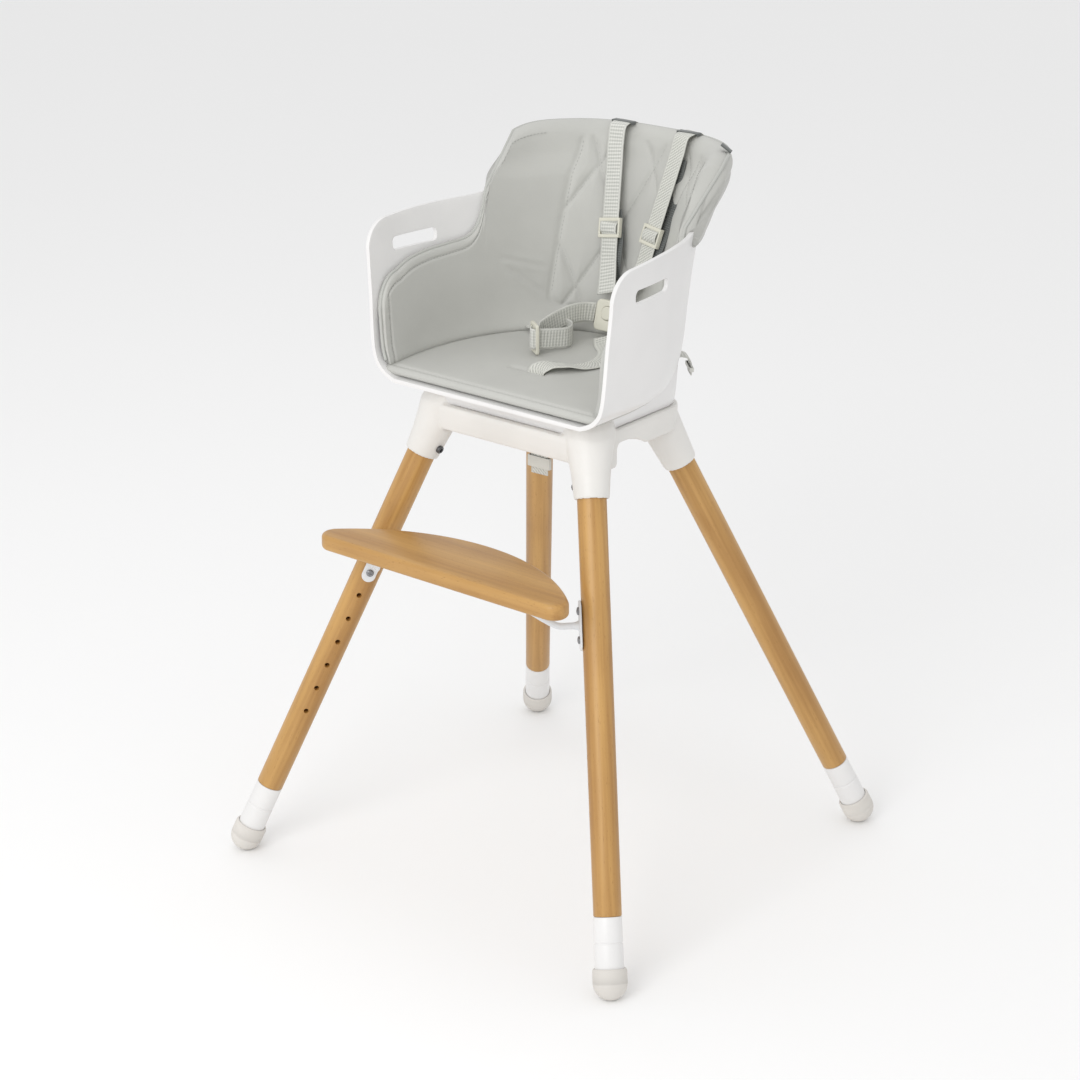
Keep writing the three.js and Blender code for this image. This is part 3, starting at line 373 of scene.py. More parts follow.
def rgb(red, green, blue):
    """A colour as seen on screen, turned into the light that it stands for."""
    linear = [c / 12.92 if c <= 0.04045 else ((c + 0.055) / 1.055) ** 2.4
              for c in (red / 255, green / 255, blue / 255)]
    return (*linear, 1.0)


def shade(colour, by):
    """The colour made darker or brighter, but never a full white."""
    return (*[min(c * by, 0.95) for c in colour[:3]], 1)


# %% [markdown]
# ## Plastics, rubber and metal
# The shell, the leg frame and the sleeves are moulded polypropylene: satin, faintly uneven where
# the plastic cooled, with a skin too fine to see from a step away. The feet are matt rubber.
# The rods are powder coated, which leaves a slight orange peel. The screws are zinc plated.

# %% Plastics, rubber and metal
def moulded(name, colour, rough, skin=0.02, skin_scale=1400, spread=0.015, **constants):
    paint = Paint(name, **constants)
    point = paint.place()
    slow = paint.noise(point, 9, 2)
    fine = paint.noise(point, skin_scale, 2)
    darker, brighter = shade(colour, 1 - 2 * spread), shade(colour, 1 + spread)
    return paint.set(
        Base_Color=paint.blend(slow.smooth(0.35, 0.65), darker, brighter),
        Roughness=rough + (slow - 0.5) * 0.12 + (fine - 0.5) * 0.06,
        Normal=paint.bump(fine, skin, 0.0004),
    )


white_plastic = moulded("white_plastic", rgb(228, 227, 226), 0.34, IOR=1.49)
frame_plastic = moulded("frame_plastic", rgb(224, 222, 218), 0.38, IOR=1.49)
buckle_plastic = moulded("buckle_plastic", rgb(214, 212, 198), 0.42, skin=0.05, skin_scale=2600)
grey_plastic = moulded("grey_plastic", rgb(206, 206, 200), 0.5, skin=0.05)
foot_rubber = moulded("foot_rubber", rgb(214, 210, 204), 0.72, skin=0.12, skin_scale=1800, spread=0.03)
painted_steel = moulded("painted_steel", rgb(222, 224, 226), 0.36, skin=0.12, skin_scale=420)
screw_steel = moulded("screw_steel", rgb(150, 150, 152), 0.33, skin=0.05, spread=0.12, Metallic=1.0)
bolt_steel = moulded("bolt_steel", rgb(104, 104, 106), 0.38, skin=0.05, spread=0.12, Metallic=1.0)

# %% [markdown]
# ## Beech
# Beech is even and pale gold, with broad soft streaks along the grain, short darker flecks a few
# millimetres long, and pores that catch the light under a satin varnish. On the legs the grain
# follows the turning axis, and on the footrest it runs from side to side.

# %% Beech
def drawn_out(axis, share):
    """A scale that stretches a pattern along one axis."""
    scale = [1.0, 1.0, 1.0]
    scale[axis] = share
    return tuple(scale)


def beech(name, along):
    paint = Paint(name, IOR=1.47, Coat_Roughness=0.28)
    point = paint.place(drawn_out(along, 0.035))
    broad = paint.noise(point, 38, 3)
    streaks = paint.noise(point, 150, 4, 0.6)
    flecks = paint.noise(paint.place(drawn_out(along, 0.16)), 900, 2, 0.5).smooth(0.62, 0.74)
    patches = paint.noise(paint.place(), 7, 2).smooth(0.35, 0.65)
    tone = broad.smooth(0.32, 0.68) * 0.5 + streaks.smooth(0.3, 0.7) * 0.3 + patches * 0.2
    wood = paint.blend(tone, rgb(158, 113, 56), rgb(199, 155, 90))
    pored = paint.blend(flecks * 0.35, wood, rgb(128, 84, 40))
    return paint.set(
        Base_Color=pored,
        Roughness=0.36 + streaks * 0.16 + flecks * 0.1,
        Coat_Weight=0.25 - flecks * 0.1,
        Normal=paint.bump(streaks * 0.6 - flecks, 0.16, 0.0003),
    )


leg_wood = beech("beech_turned", 2)
board_wood = beech("beech_board", 0)

# %% [markdown]
# ## Coated cloth, thread and webbing
# The liner is cloth with a matt polyurethane face. Its pebbled grain is about a millimetre
# across. Webbing is woven: its ribs cross it, or run slantwise as a twill, every 4.2 mm on the
# pale straps and every 2.6 mm on the dark ones. The weave is drawn along each strap in
# millimetres, so it stays the same on all of them.

# %% Coated cloth, thread and webbing
def leather(name, colour, grain=850):
    paint = Paint(name, IOR=1.46, Sheen_Weight=0.12, Sheen_Roughness=0.5)
    point = paint.place()
    pebble = paint.cells(point, grain)
    soft = paint.noise(point, 260, 3)
    slow = paint.noise(point, 11, 3)
    return paint.set(
        Base_Color=paint.blend(slow.smooth(0.3, 0.7) * 0.7 + pebble * 0.3, shade(colour, 0.93), colour),
        Roughness=0.5 + (slow - 0.5) * 0.12 + pebble * 0.1,
        Normal=paint.bump(pebble * -1 + soft * 0.6, 0.16, 0.0004),
    )


WARP_PITCH = 3.6


# dark is the colour painted into the weave's low places as shade.
def webbing(name, colour, dark, rib=4.2, lean=0.0):
    paint = Paint(name, Roughness=0.85, Sheen_Weight=0.25)
    across, along = paint.parts(paint.place((1, 1, 1), "UV"))[:2]
    ribs = ((along / rib + across * lean) * (2 * math.pi)).sine() * 0.5 + 0.5
    warp = (across * (2 * math.pi / WARP_PITCH)).sine() * 0.5 + 0.5
    edge = across.size().smooth(9.4, 10.6)
    weave = ribs * (1 - edge) * 0.72 + warp * 0.28 + edge * 0.45
    wear = paint.noise(paint.place(), 60, 3)
    return paint.set(
        # The weave's low places take the darker colour: painted shade between the ribs, on top of the bump.
        Base_Color=paint.blend(weave * 0.85 + wear * 0.15, dark, colour),
        Roughness=0.8 + wear * 0.15,
        Normal=paint.bump(weave, 0.7, 0.0009),
    )


grey_leather = leather("grey_leather", rgb(190, 190, 185))
piping_leather = leather("piping_leather", rgb(184, 185, 180), 1200)
thread = moulded("thread", rgb(172, 173, 168), 0.7, skin=0.2, skin_scale=3000)
pale_webbing = webbing("pale_webbing", rgb(226, 226, 220), rgb(172, 173, 167))
twill_webbing = webbing("twill_webbing", rgb(224, 224, 217), rgb(168, 169, 162), lean=0.2)
dark_webbing = webbing("dark_webbing", rgb(112, 115, 113), rgb(74, 77, 76), 2.6)
print("surfaces:", len(bpy.data.materials))

# %% [markdown]
# ## Legs, sleeves and feet
# Each leg is turned from one length of beech and tapers slightly. A moulded sleeve covers the
# turned tenon at its lower end, and a rubber cup is pushed over the sleeve. The front legs are
# drilled from the inner side at a steady pitch, so that the footrest can be moved down.

# %% Where each leg stands
FEET = {"front": (289.0, -275.0, 19.0), "rear": (265.5, 275.0, 19.0)}
MOUTHS = {"front": (130.0, -111.5, 519.5), "rear": (109.0, 88.0, 505.5)}
LEG_LOW_R, LEG_TOP_R, SLEEVE_TOP = 16.3, 17.2, 75.0
HOLE_PITCH, HOLE_FIRST, HOLE_COUNT = 33.2, 190.5, 8


def leg_axes(end, side):
    """A leg's origin, its own axes as columns, and its length up to the socket."""
    low = np.array(FEET[end]) * (side, 1, 1)
    high = np.array(MOUTHS[end]) * (side, 1, 1)
    z = unit(high - low)
    x = unit(np.array((z[1], -z[0], 0.0)))
    x = -x if x[1] > 0 else x
    return low, np.column_stack([x, np.cross(z, x), z]), np.linalg.norm(high - low)


def stand(piece, origin, axes):
    """Puts a piece at a point in millimetres, with its axes as the columns."""
    matrix = Matrix(axes.tolist()).to_4x4()
    matrix.translation = Vector(np.asarray(origin, float) * MM)
    piece.matrix_world = matrix
    return piece


# %% Legs
HOLE = [(0, 3), (3.0, 3), (3.0, LEG_LOW_R - 0.4), (4.4, LEG_TOP_R + 2), (0, LEG_TOP_R + 2)]
LEG_IN_SOCKET = 50


def leg_piece(name, length, drilled):
    top = length + LEG_IN_SOCKET
    body = turned(name, [
        (0, SLEEVE_TOP + 0.3), (LEG_LOW_R - 0.8, SLEEVE_TOP + 0.3), (LEG_LOW_R - 0.1, SLEEVE_TOP + 1.1),
        *[(LEG_LOW_R + (LEG_TOP_R - LEG_LOW_R) * u, SLEEVE_TOP + 1.5 + (top - SLEEVE_TOP - 2) * u)
          for u in np.linspace(0, 1, 8)],
        (0, top)], 64)
    if drilled:
        for k in range(HOLE_COUNT):
            hole = turned("hole", HOLE, 24)
            hole.matrix_world = (Matrix.Translation((0, 0, (HOLE_FIRST + k * HOLE_PITCH) * MM))
                                 @ Matrix.Rotation(math.pi / 2, 4, "Y"))
            cut(body, hole)
        body.data.set_sharp_from_angle(angle=math.radians(28))
    return body


SLEEVE = rounded([(0, -6), (12, -6), (14, -2), (16.8, 0), (16.55, 43.6), (15.7, 44.6), (15.7, 45.4),
                  (16.5, 46.4), (LEG_LOW_R + 0.1, SLEEVE_TOP), (12, SLEEVE_TOP), (0, SLEEVE_TOP)], 0.6)
CAP_R = 20
CAP = [(CAP_R * math.sin(a), -CAP_R * math.cos(a)) for a in np.linspace(0, math.pi / 2, 14)]
CAP += rounded([(CAP_R, 0), (19.9, 14.4), (18.7, 16.5), (17.1, 16.5), (17.1, 10)], 1.4)

for end in FEET:
    for side_name, side in SIDES.items():
        key = f"{end}_{side_name}"
        origin, axes, length = leg_axes(end, side)
        leg = stand(leg_piece(f"turned_leg_{key}", length, end == "front"), origin, axes)
        finish_piece(leg, leg_wood, replaces=[f"leg_{key}"])
        sleeve = stand(turned(f"sleeve_{key}", SLEEVE), origin, axes)
        finish_piece(sleeve, white_plastic, replaces=[f"leg_sleeve_{key}"])
        cap = stand(turned(f"cap_{key}", [*CAP, (0.02, 10)]), origin, axes)
        bpy.context.view_layer.update()
        for vertex in cap.data.vertices:
            place = cap.matrix_world @ vertex.co
            if place.z < 0:
                place.z = 0
                vertex.co = cap.matrix_world.inverted() @ place
        finish_piece(cap, foot_rubber, replaces=[f"foot_cap_{key}"])

# %% [markdown]
# ## Leg frame
# One moulding holds the legs: a shallow tray under the seat with four tapered sockets that flow
# into it. The parts are joined, turned into an even skin and relaxed, which leaves the soft
# fillets that a mould gives.

# %% Leg frame
TRAY_LOW, SEAM = 556.0, 589.0
TRAY = {"x": 127.0, "front": -118.0, "back": 82.0, "radius": 38.0}


def plan(x, front, back, radius, z):
    """A rounded rectangle at one height, from its half width and its front and back."""
    outline = rounded_outline(2 * x, back - front, radius, 10)
    return np.column_stack([outline[:, 0], outline[:, 1] + (front + back) / 2, np.full(len(outline), z)])


def grown(z, by):
    """The tray's outline at a height, moved outwards."""
    return plan(TRAY["x"] + by, TRAY["front"] - by, TRAY["back"] + by, TRAY["radius"] + by, z)


def socket(end, side, inner=None):
    """The outside of a socket, or the bore in it."""
    origin, axes, length = leg_axes(end, side)
    angles = np.linspace(0, 2 * np.pi, 48, endpoint=False)
    round_leg = np.outer(np.cos(angles), axes[:, 0]) + np.outer(np.sin(angles), axes[:, 1])
    level = unit(round_leg * (1, 1, 0))
    along = axes[:, 2]
    if inner:
        ends = (length - 6, length + 60)
        return lofted("bore", [origin + along * at + inner * round_leg for at in ends])
    rings = [origin + along * (length + at) + r * round_leg
             for at, r in ((0, 20.0), (1.2, 20.7), (26, 22.6))]
    for z, r in ((570, 26.5), (SEAM, 31.0), (599, 29.5), (605, 26)):
        centre = origin + along * ((z - origin[2]) / along[2])
        share = min(max((z - 548) / 40, 0), 1)
        rings.append(centre + r * unit((1 - share) * round_leg + share * level))
    return lofted("socket", rings)


SIDE_ARCH = [(-57, 551), (-57, 568), (-53, 571), (-37, 571), (-18, 566), (-1, 558.5), (6, 551)]
WEB_OUTLINE = [(-92, 548), (-92, 577), (-55, 577), (-55, 545), (-58, 541.5), (-76, 541.5)]


def across_prism(name, outline, x0, x1):
    """A side outline in (y, z), taken clockwise, drawn out from x0 to x1."""
    outline = np.array(outline, float)
    return lofted(name, [np.column_stack([np.full(len(outline), x), outline]) for x in (x1, x0)])


tray = lofted("leg_frame_body", [grown(TRAY_LOW, -5), grown(TRAY_LOW + 2, -4), grown(TRAY_LOW + 12, -2),
                                 grown(SEAM - 7, 0), grown(SEAM - 1, -0.4), grown(SEAM, -1.4)])
cut(tray, across_prism("arch", SIDE_ARCH, -180, 180))
for end in FEET:
    for side in SIDES.values():
        cut(tray, socket(end, side), operation="UNION")
for web_faces in ((-124, -109), (109, 124)):
    cut(tray, across_prism("web", WEB_OUTLINE, *web_faces), operation="UNION")
pocket = lofted("pocket", [plan(117, -109, 73, 30, TRAY_LOW - 3), plan(104, -98, 66, 28, SEAM - 6)])
cut(tray, pocket, *[socket(e, s, LEG_TOP_R + 0.35) for e in FEET for s in SIDES.values()])
modified(tray, "REMESH", mode="VOXEL", voxel_size=1.7 * MM)
modified(tray, "SMOOTH", factor=0.5, iterations=7)
finish_piece(tray, frame_plastic, replaces=["leg_frame"])
print("leg frame faces:", len(tray.data.polygons))

# %% [markdown]
# ## Lock bolts and seat screws
# Each socket is clamped on its leg by a small bolt from the chair's inner side. Four screws
# hold the shell on the frame.

# %% Small fixings from the CAD shapes
for end in FEET:
    for side_name in SIDES:
        node = f"leg_bolt_{end}_{side_name}"
        finish_piece(copy_of(node, 0.5), bolt_steel, replaces=[node])
for k in range(1, 5):
    finish_piece(copy_of(f"seat_screw_{k}", 0.3), screw_steel, replaces=[f"seat_screw_{k}"])

# %% [markdown]
# ## Seat shell
# The shell is a bucket of even wall. Its plan at each height is a straight-sided curve that is
# nearly an ellipse at the back, so one table of sizes describes it. The wall is drawn as a grid
# from the floor to the rim, thickened inwards, slotted for the fingers and eased at each edge.

# %% The bucket's sizes
FRONT, RIM_FRONT = -147.5, -143.95
SHELL_WALL = 5.0
SLOT = {"long": 70, "high": 16, "radius": 6, "y": -68, "z": 767}
BUCKET = np.array([
    # height, half width, back, where the curve starts, fullness
    (613.7, 140, 84, -99, 2.3), (618, 151, 95, -99, 2.3), (626, 162.5, 106, -99, 2.2),
    (638, 170.5, 115, -99, 2.1), (655, 174.5, 124, -99, 2.1), (716, 178.8, 147, -104, 2.0),
    (760, 182.5, 162, -110, 1.95), (819, 185.5, 178, -112, 2.0), (850, 176, 186, -95, 2.4),
    (890, 165, 190, -75, 2.8)])


def eased_table(at, table):
    """Smooth values from a table, without overshoot."""
    x, y = table[:, 0], table[:, 1]
    h, d = np.diff(x), np.diff(y) / np.diff(x)
    slope = np.zeros(len(x))
    slope[0], slope[-1] = d[0], d[-1]
    same = d[:-1] * d[1:] > 0
    mean = np.divide(2 * d[:-1] * d[1:], d[:-1] + d[1:], out=np.zeros(len(d) - 1), where=same)
    slope[1:-1] = mean
    at = np.clip(at, x[0], x[-1])
    k = np.clip(np.searchsorted(x, at, side="right") - 1, 0, len(h) - 1)
    t = (at - x[k]) / h[k]
    return ((2 * t ** 3 - 3 * t ** 2 + 1) * y[k] + (t ** 3 - 2 * t ** 2 + t) * h[k] * slope[k]
            + (3 * t ** 2 - 2 * t ** 3) * y[k + 1] + (t ** 3 - t ** 2) * h[k] * slope[k + 1])


def bucket(z):
    """Half width, back, start of the curve and fullness at a height."""
    return [eased_table(z, BUCKET[:, (0, k)]) for k in (1, 2, 3, 4)]


CURVE_SHARE = 0.86


def on_bucket(w, z, side_in=0.0, back_in=0.0, front=FRONT, fuller=0.0):
    """Points on the bucket. w is -1 at the left front edge, 0 at the back and 1 at the right."""
    w, z = np.broadcast_arrays(np.asarray(w, float), np.asarray(z, float))
    half, back, start, full = bucket(z)
    power = 2 / (full + fuller)
    s = np.abs(w)
    angle = np.clip(1 - s / CURVE_SHARE, 0, 1) * math.pi / 2
    x = np.cos(angle) ** power * (half - side_in)
    y = start + np.sin(angle) ** power * (back - back_in - start)
    u = np.clip((s - CURVE_SHARE) / (1 - CURVE_SHARE), 0, 1)
    y = np.where(s > CURVE_SHARE, start + (front - start) * np.sin(u * math.pi / 2), y)
    return np.stack([np.sign(w) * x, y, z], -1)


def arc(y, z, r, a0, a1, steps=16):
    """Points on a circle from one angle to another, in degrees."""
    return [(y + r * math.cos(math.radians(a)), z + r * math.sin(math.radians(a)))
            for a in np.linspace(a0, a1, steps)]


def eased_line(points):
    """A smooth line in (y, z) through a few points."""
    flat = [(y, z, 0.0) for y, z in points]
    return [tuple(p[:2]) for p in curve_through(flat, 10 * len(points))]


SHELL_TOP = arc(-109, 766, 35, 179, 98) + eased_line(
    [(-113, 800.8), (-69, 803.5), (-19, 804.8), (22, 805.5), (48, 810), (66, 822), (80, 840), (96, 857),
     (116, 868), (140, 872), (170, 872.4)]) + [(260, 872.4)]


def height_at(outline):
    """The height of a side outline as a function of y."""
    line = np.array(sorted(outline))
    return lambda y: np.interp(y, line[:, 0], line[:, 1])


shell_top = height_at(SHELL_TOP)


def front_edge(z):
    """How far forward the wall reaches at a height."""
    return np.interp(z, (600, 655, 760, 770), (FRONT, FRONT, -143.6, RIM_FRONT))


def rim_height(w):
    """Where each column of the wall meets the rim."""
    z = np.full(np.shape(w), 780.0)
    for _ in range(40):
        z = 0.5 * z + 0.5 * shell_top(on_bucket(w, z, front=RIM_FRONT)[..., 1])
    return z


def columns_round(at_back, at_front):
    """Columns from the left front edge round the back to the right one, crowded in front."""
    back = np.linspace(0, CURVE_SHARE, at_back, endpoint=False)
    half = np.concatenate([back, np.linspace(CURVE_SHARE, 1, at_front)])
    return np.concatenate([-half[::-1], half[1:]])


# %% Shell wall, floor and finger slots
shell_columns = columns_round(72, 30)
rows = np.linspace(0, 1, 48) ** 1.5
rim = rim_height(shell_columns)
grid = []
for t in rows:
    z = BUCKET[0, 0] + (rim - BUCKET[0, 0]) * t
    grid.append(on_bucket(shell_columns, z, front=front_edge(z)))
count = len(shell_columns)
faces = [(r * count + i, r * count + i + 1, (r + 1) * count + i + 1, (r + 1) * count + i)
         for r in range(len(rows) - 1) for i in range(count - 1)]
faces.append(tuple(range(count - 1, -1, -1)))
shell = new_object("seat_shell_body", np.concatenate(grid), [f[::-1] for f in faces])
modified(shell, "SOLIDIFY", thickness=SHELL_WALL * MM, offset=-1.0, use_even_offset=True, use_rim=True)
slot_outline = rounded_outline(SLOT["long"], SLOT["high"], SLOT["radius"], 8) + (SLOT["y"], SLOT["z"])
slot_rings = [np.column_stack([np.full(len(slot_outline), x), slot_outline]) for x in (-230, 230)]
cut(shell, lofted("finger_slot", slot_rings))
bevelled(shell, 1.7, 3, angle=48, sharp=60)

# %% Skirt under the shell
SKIRT_TOP = 613.9


def shell_height(point):
    """The height at which the shell's outside passes over a point of the skirt's outline."""
    z = np.arange(SKIRT_TOP, 660, 0.5)
    half, back, start, full = bucket(z)
    run = np.abs(point[0] / half) ** full + np.clip((point[1] - start) / (back - start), 0, None) ** full
    return float(z[np.argmax(run <= 1)])


brim = plan(127, -114, 85, 42, SKIRT_TOP)
brim[:, 2] = [shell_height(p) + 1.2 for p in brim]
brim[brim[:, 1] < -95, 2] = SKIRT_TOP
skirt = lofted("skirt", [plan(120.5, -110, 79, 37, SEAM + 0.3), plan(122, -111.5, 80.5, 38, SEAM + 1.5),
                         plan(124, -113, 82, 39.5, 602), brim, brim * (0.93, 0.93, 0) + (0, 0, 614.0)])
shell = joined("seat_shell_form", shell, skirt)
shell.data.set_sharp_from_angle(angle=math.radians(50))
finish_piece(shell, white_plastic, replaces=["seat_shell"])
print("shell faces:", len(shell.data.polygons))

# %% [markdown]
# ## Liner
# The liner is foam between two layers of coated cloth. Its wings stand in the seat, and its back
# is quilted in diamonds and folds over the shell as a hood. It is drawn as one closed section
# that changes from column to column: up the inside, over the edge and down the other face. The
# foam swells between the seams and the thread pulls it in, so the face is moved by the distance
# to the nearest seam.

# %% Liner sizes
SKIN = 5.9
PAD_LOW = 619.3
WING, WING_MID = 9.0, SKIN + 4.6
WING_FRONT = -138.0
PAD_FRONT, PAD_REAR = (-142.5, 632.5), (90.0, 641.0)
PANEL_X, PANEL_LOW, PANEL_CORNER = 89.0, 667.0, 16.0
DIAMOND = (68.0, 144.6)
DIAMOND_AT = (4.0, 834.0)
EDGE_LINE = arc(-102, 697, 40, 179, 97, 24) + eased_line(
    [(-106.9, 736.7), (-85, 745.5), (-55, 751), (-26, 753.5), (2, 758), (14, 768), (22, 784), (29, 808),
     (37, 834), (47, 853), (58, 865), (72, 873), (88, 878.5), (106, 881), (140, 881.5)]) + [(260, 881.5)]
HOOD_LOW = 790.0
EDGE_RISE, CREST_RISE = 4.2, 15.0
HOOD_FROM, HOOD_TO = 40.0, 55.0
HOOD = np.array([
    # height, how far out at the sides and at the back, extra fullness
    (790, 5, 9, 0), (815, 8, 9, 0.1), (850, 10, 8, 0.25), (866, 9, 7, 0.3)])

edge_height = height_at(EDGE_LINE)


def pad_top(y):
    """The seat pad's height from front to back."""
    return np.interp(y, (PAD_FRONT[0], PAD_REAR[0]), (PAD_FRONT[1], PAD_REAR[1]))


def back_padding(z):
    """The back's padding, thinner towards the top."""
    return 14 - 5 * np.clip((z - 640) / 240, 0, 1)


def groove(distance, depth, width):
    """The hollow that a seam pulls into the padding."""
    return depth * np.exp(-(distance / width) ** 2)


def segment_distance(point, a, b):
    """Distance from points to a straight line between two others, and how far along it."""
    a, b = np.array(a, float), np.array(b, float)
    u = np.clip(((point - a) @ (b - a)) / np.sum((b - a) ** 2), 0, 1)
    return np.linalg.norm(point - a - u[..., None] * (b - a), axis=-1), u


def panel_distance(x, z):
    """Distance to the outline of the quilted panel, positive inside it."""
    dx = PANEL_X - np.abs(x)
    dz = z - PANEL_LOW
    in_corner = (dx < PANEL_CORNER) & (dz < PANEL_CORNER)
    rounded_off = PANEL_CORNER - np.hypot(PANEL_CORNER - dx, PANEL_CORNER - dz)
    return np.where(in_corner, rounded_off, np.minimum(dx, dz))


def diamond_distance(x, z):
    """Distance to the nearest line of the diamond quilting."""
    lean = (z - DIAMOND_AT[1]) * DIAMOND[0] / DIAMOND[1]
    scale = DIAMOND[0] * math.sin(math.atan2(DIAMOND[1], DIAMOND[0]))
    a = (x - DIAMOND_AT[0] - lean) / DIAMOND[0]
    b = (x - DIAMOND_AT[0] + lean) / DIAMOND[0]
    return np.minimum(np.abs(a - np.round(a)), np.abs(b - np.round(b))) * scale


CREASES = [((-131, 38, 729), (-95, 84, 713), 1.5), ((-125, 47, 716), (-96, 76, 683), 1.6)]


def swell(point):
    """How far the padded face stands in from its plain surface, in millimetres."""
    x, z = point[..., 0], point[..., 2]
    edge = panel_distance(x, z)
    inside = edge > 0
    seam = diamond_distance(x, z)
    puff = 3.4 * (1 - np.exp(-np.minimum(seam, edge) / 10)) - groove(seam, 1.2, 1.8)
    puff = puff * (1 - 0.5 * np.clip((x - 40) / 30, 0, 1))
    plain = 1.8 * (1 - np.exp(-np.abs(edge) / 12))
    out = np.where(inside, puff, plain) - groove(edge, 1.2, 2.8)
    for a, b, depth in CREASES:
        distance, u = segment_distance(point, a, b)
        fade = np.sin(np.clip(u, 0.02, 0.98) * math.pi) ** 0.6
        out = out - depth * fade * (np.exp(-(distance / 2.6) ** 2) - 0.6 * np.exp(-((distance - 6) / 4) ** 2))
    return out


# %% Liner body, quilted and folded over the back
INNER_ROWS = 96


def eased_step(value):
    """0 to 1 with a soft start and end."""
    value = np.clip(value, 0, 1)
    return value * value * (3 - 2 * value)


def edge_at(w):
    """The height of the liner's edge over each column, and how much of the hood that column has."""
    z = np.full(np.shape(w), 780.0)
    for _ in range(60):
        y = on_bucket(w, z - 4, SKIN + WING, SKIN + 10, front=-141.9)[..., 1]
        z = 0.6 * z + 0.4 * edge_height(y)
    hood = eased_step((y - HOOD_FROM) / (HOOD_TO - HOOD_FROM))
    return z, hood


def liner_face(w, z, extra=0.0):
    """The liner's padded face, `extra` further into the seat."""
    inset = (SKIN + WING, SKIN + back_padding(z))
    plain = on_bucket(w, z, inset[0], inset[1], front=WING_FRONT)
    edge, hood = edge_at(w)
    below = edge - EDGE_RISE - (CREST_RISE - EDGE_RISE) * hood - z
    fade = np.clip(below / 10, 0, 1) ** 0.5
    seam = np.minimum(below + 3, plain[..., 1] - WING_FRONT) - 9.5
    puff = swell(plain) * fade + 0.8 * (1 - fade) - groove(seam, 1.5, 1.5) * (1 - hood) + extra
    return on_bucket(w, z, inset[0] + puff, inset[1] + puff, front=WING_FRONT)


columns = columns_round(150, 34)
top_edge, hood_share = edge_at(columns)
face_top = top_edge - EDGE_RISE - (CREST_RISE - EDGE_RISE) * hood_share
pad_edge = pad_top(on_bucket(columns, 645.0, SKIN + WING, SKIN + 20, front=WING_FRONT)[..., 1])
sections = []
for t in np.linspace(0, 1, INNER_ROWS):
    z = pad_edge - 3 + (face_top - pad_edge + 3) * t
    tuck = 5.5 * np.exp(-(z - pad_edge + 3) / 3.2)
    sections.append(liner_face(columns, z, -tuck))
mix = hood_share[:, None]
TURNS = 15
for theta in np.linspace(0, math.pi, TURNS)[1:]:
    c, s = math.cos(theta), math.sin(theta)
    z = face_top + (EDGE_RISE + (CREST_RISE - EDGE_RISE) * hood_share) * s
    wing = on_bucket(columns, z, WING_MID + 5.2 * c, WING_MID + 5.2 * c, front=WING_FRONT)
    crest = on_bucket(columns, z, 3 + (12 + 0.8 * max(c, 0)) * c, 4 + (11 + 0.8 * max(c, 0)) * c,
                      fuller=0.3 * (1 - c) / 2)
    sections.append(wing * (1 - mix) + crest * mix)
edge_line = (sections[INNER_ROWS - 1 + TURNS // 2] * (1 - mix)
             + sections[INNER_ROWS - 1 + int(TURNS * 0.68)] * mix)
shell_side = sections[-1] * (1 - mix)
lowest = on_bucket(columns, pad_edge, SKIN + 0.3, SKIN + 0.3, front=WING_FRONT)
for t in np.linspace(0, 1, 26):
    z = (face_top - 2) * (1 - t) + (HOOD_LOW + 3) * t
    side_out, back_out, fuller = (np.interp(z, HOOD[:, 0], HOOD[:, k]) for k in (1, 2, 3))
    hem = groove(z - HOOD_LOW - 9, 1.1, 2.0) + groove(face_top - 7 - z, 1.3, 2.2)
    outer = on_bucket(columns, z, hem - side_out, hem - back_out, fuller=fuller)
    sections.append(shell_side + outer * mix)
for side_out, z in ((4.2, 790.6), (2.5, 790), (1.0, 790.8), (1.0, 815)):
    sections.append(shell_side + on_bucket(columns, z, -side_out, -side_out) * mix)
over = np.minimum(shell_top(edge_line[:, 1]) + 1.5, 874)
sections.append(shell_side + on_bucket(columns, over, -1, -1) * mix)
sections.append(shell_side + on_bucket(columns, over, SKIN, SKIN) * mix)
for t in (0.5, 1.0):
    sections.append(sections[-1] * (1 - t) + lowest * t)
rings = np.stack(sections, 1)
liner = new_object("liner_body", rings.reshape(-1, 3), ring_faces(*rings.shape[:2]))
finish_piece(liner, grey_leather, replaces=["back_cushion", "cushion_hood"])
print("liner faces:", len(liner.data.polygons))

# %% [markdown]
# ## Seat pad
# The pad is a separate quilt of the same cloth, crowned a little, with a rounded welt at its
# front. The crotch strap comes through a buttonhole that pulls a shallow crease in the face.

# %% Seat pad
CROTCH = (9.0, -66.0)
PAD_CENTRE = np.array((0.0, -30.0))
boundary = on_bucket(np.linspace(-1, 1, 181), 634.0, 7.2, 7.2, front=PAD_FRONT[0])[:, :2]
front_run = np.linspace(boundary[-1], boundary[0], 60)[1:-1]
boundary = np.vstack([boundary, front_run])
levels = []
for share, low in ((0.2, PAD_LOW), (0.93, PAD_LOW), (0.985, PAD_LOW + 2.5), (1.0, PAD_LOW + 7)):
    points = PAD_CENTRE + (boundary - PAD_CENTRE) * share
    levels.append(np.column_stack([points, np.full(len(points), low)]))
for share in [*np.linspace(1, 0.9, 9)[1:], *np.linspace(0.9, 0.02, 44)[1:]]:
    points = PAD_CENTRE + (boundary - PAD_CENTRE) * share
    inward = (1 - share) * 150
    drop = 6.5 * math.exp(-inward / 5.0) + 2.2 * math.exp(-((inward - 9.5) / 2.0) ** 2)
    height = pad_top(points[:, 1]) - drop + 1.6 * (1 - share ** 2)
    distance = segment_distance(points, (CROTCH[0] - 34, CROTCH[1] + 1), (CROTCH[0] + 13, CROTCH[1]))[0]
    height -= groove(distance, 1.9, 4.5)
    levels.append(np.column_stack([points, height]))
pad = lofted("seat_pad", levels)
finish_piece(pad, grey_leather, replaces=["seat_cushion"])

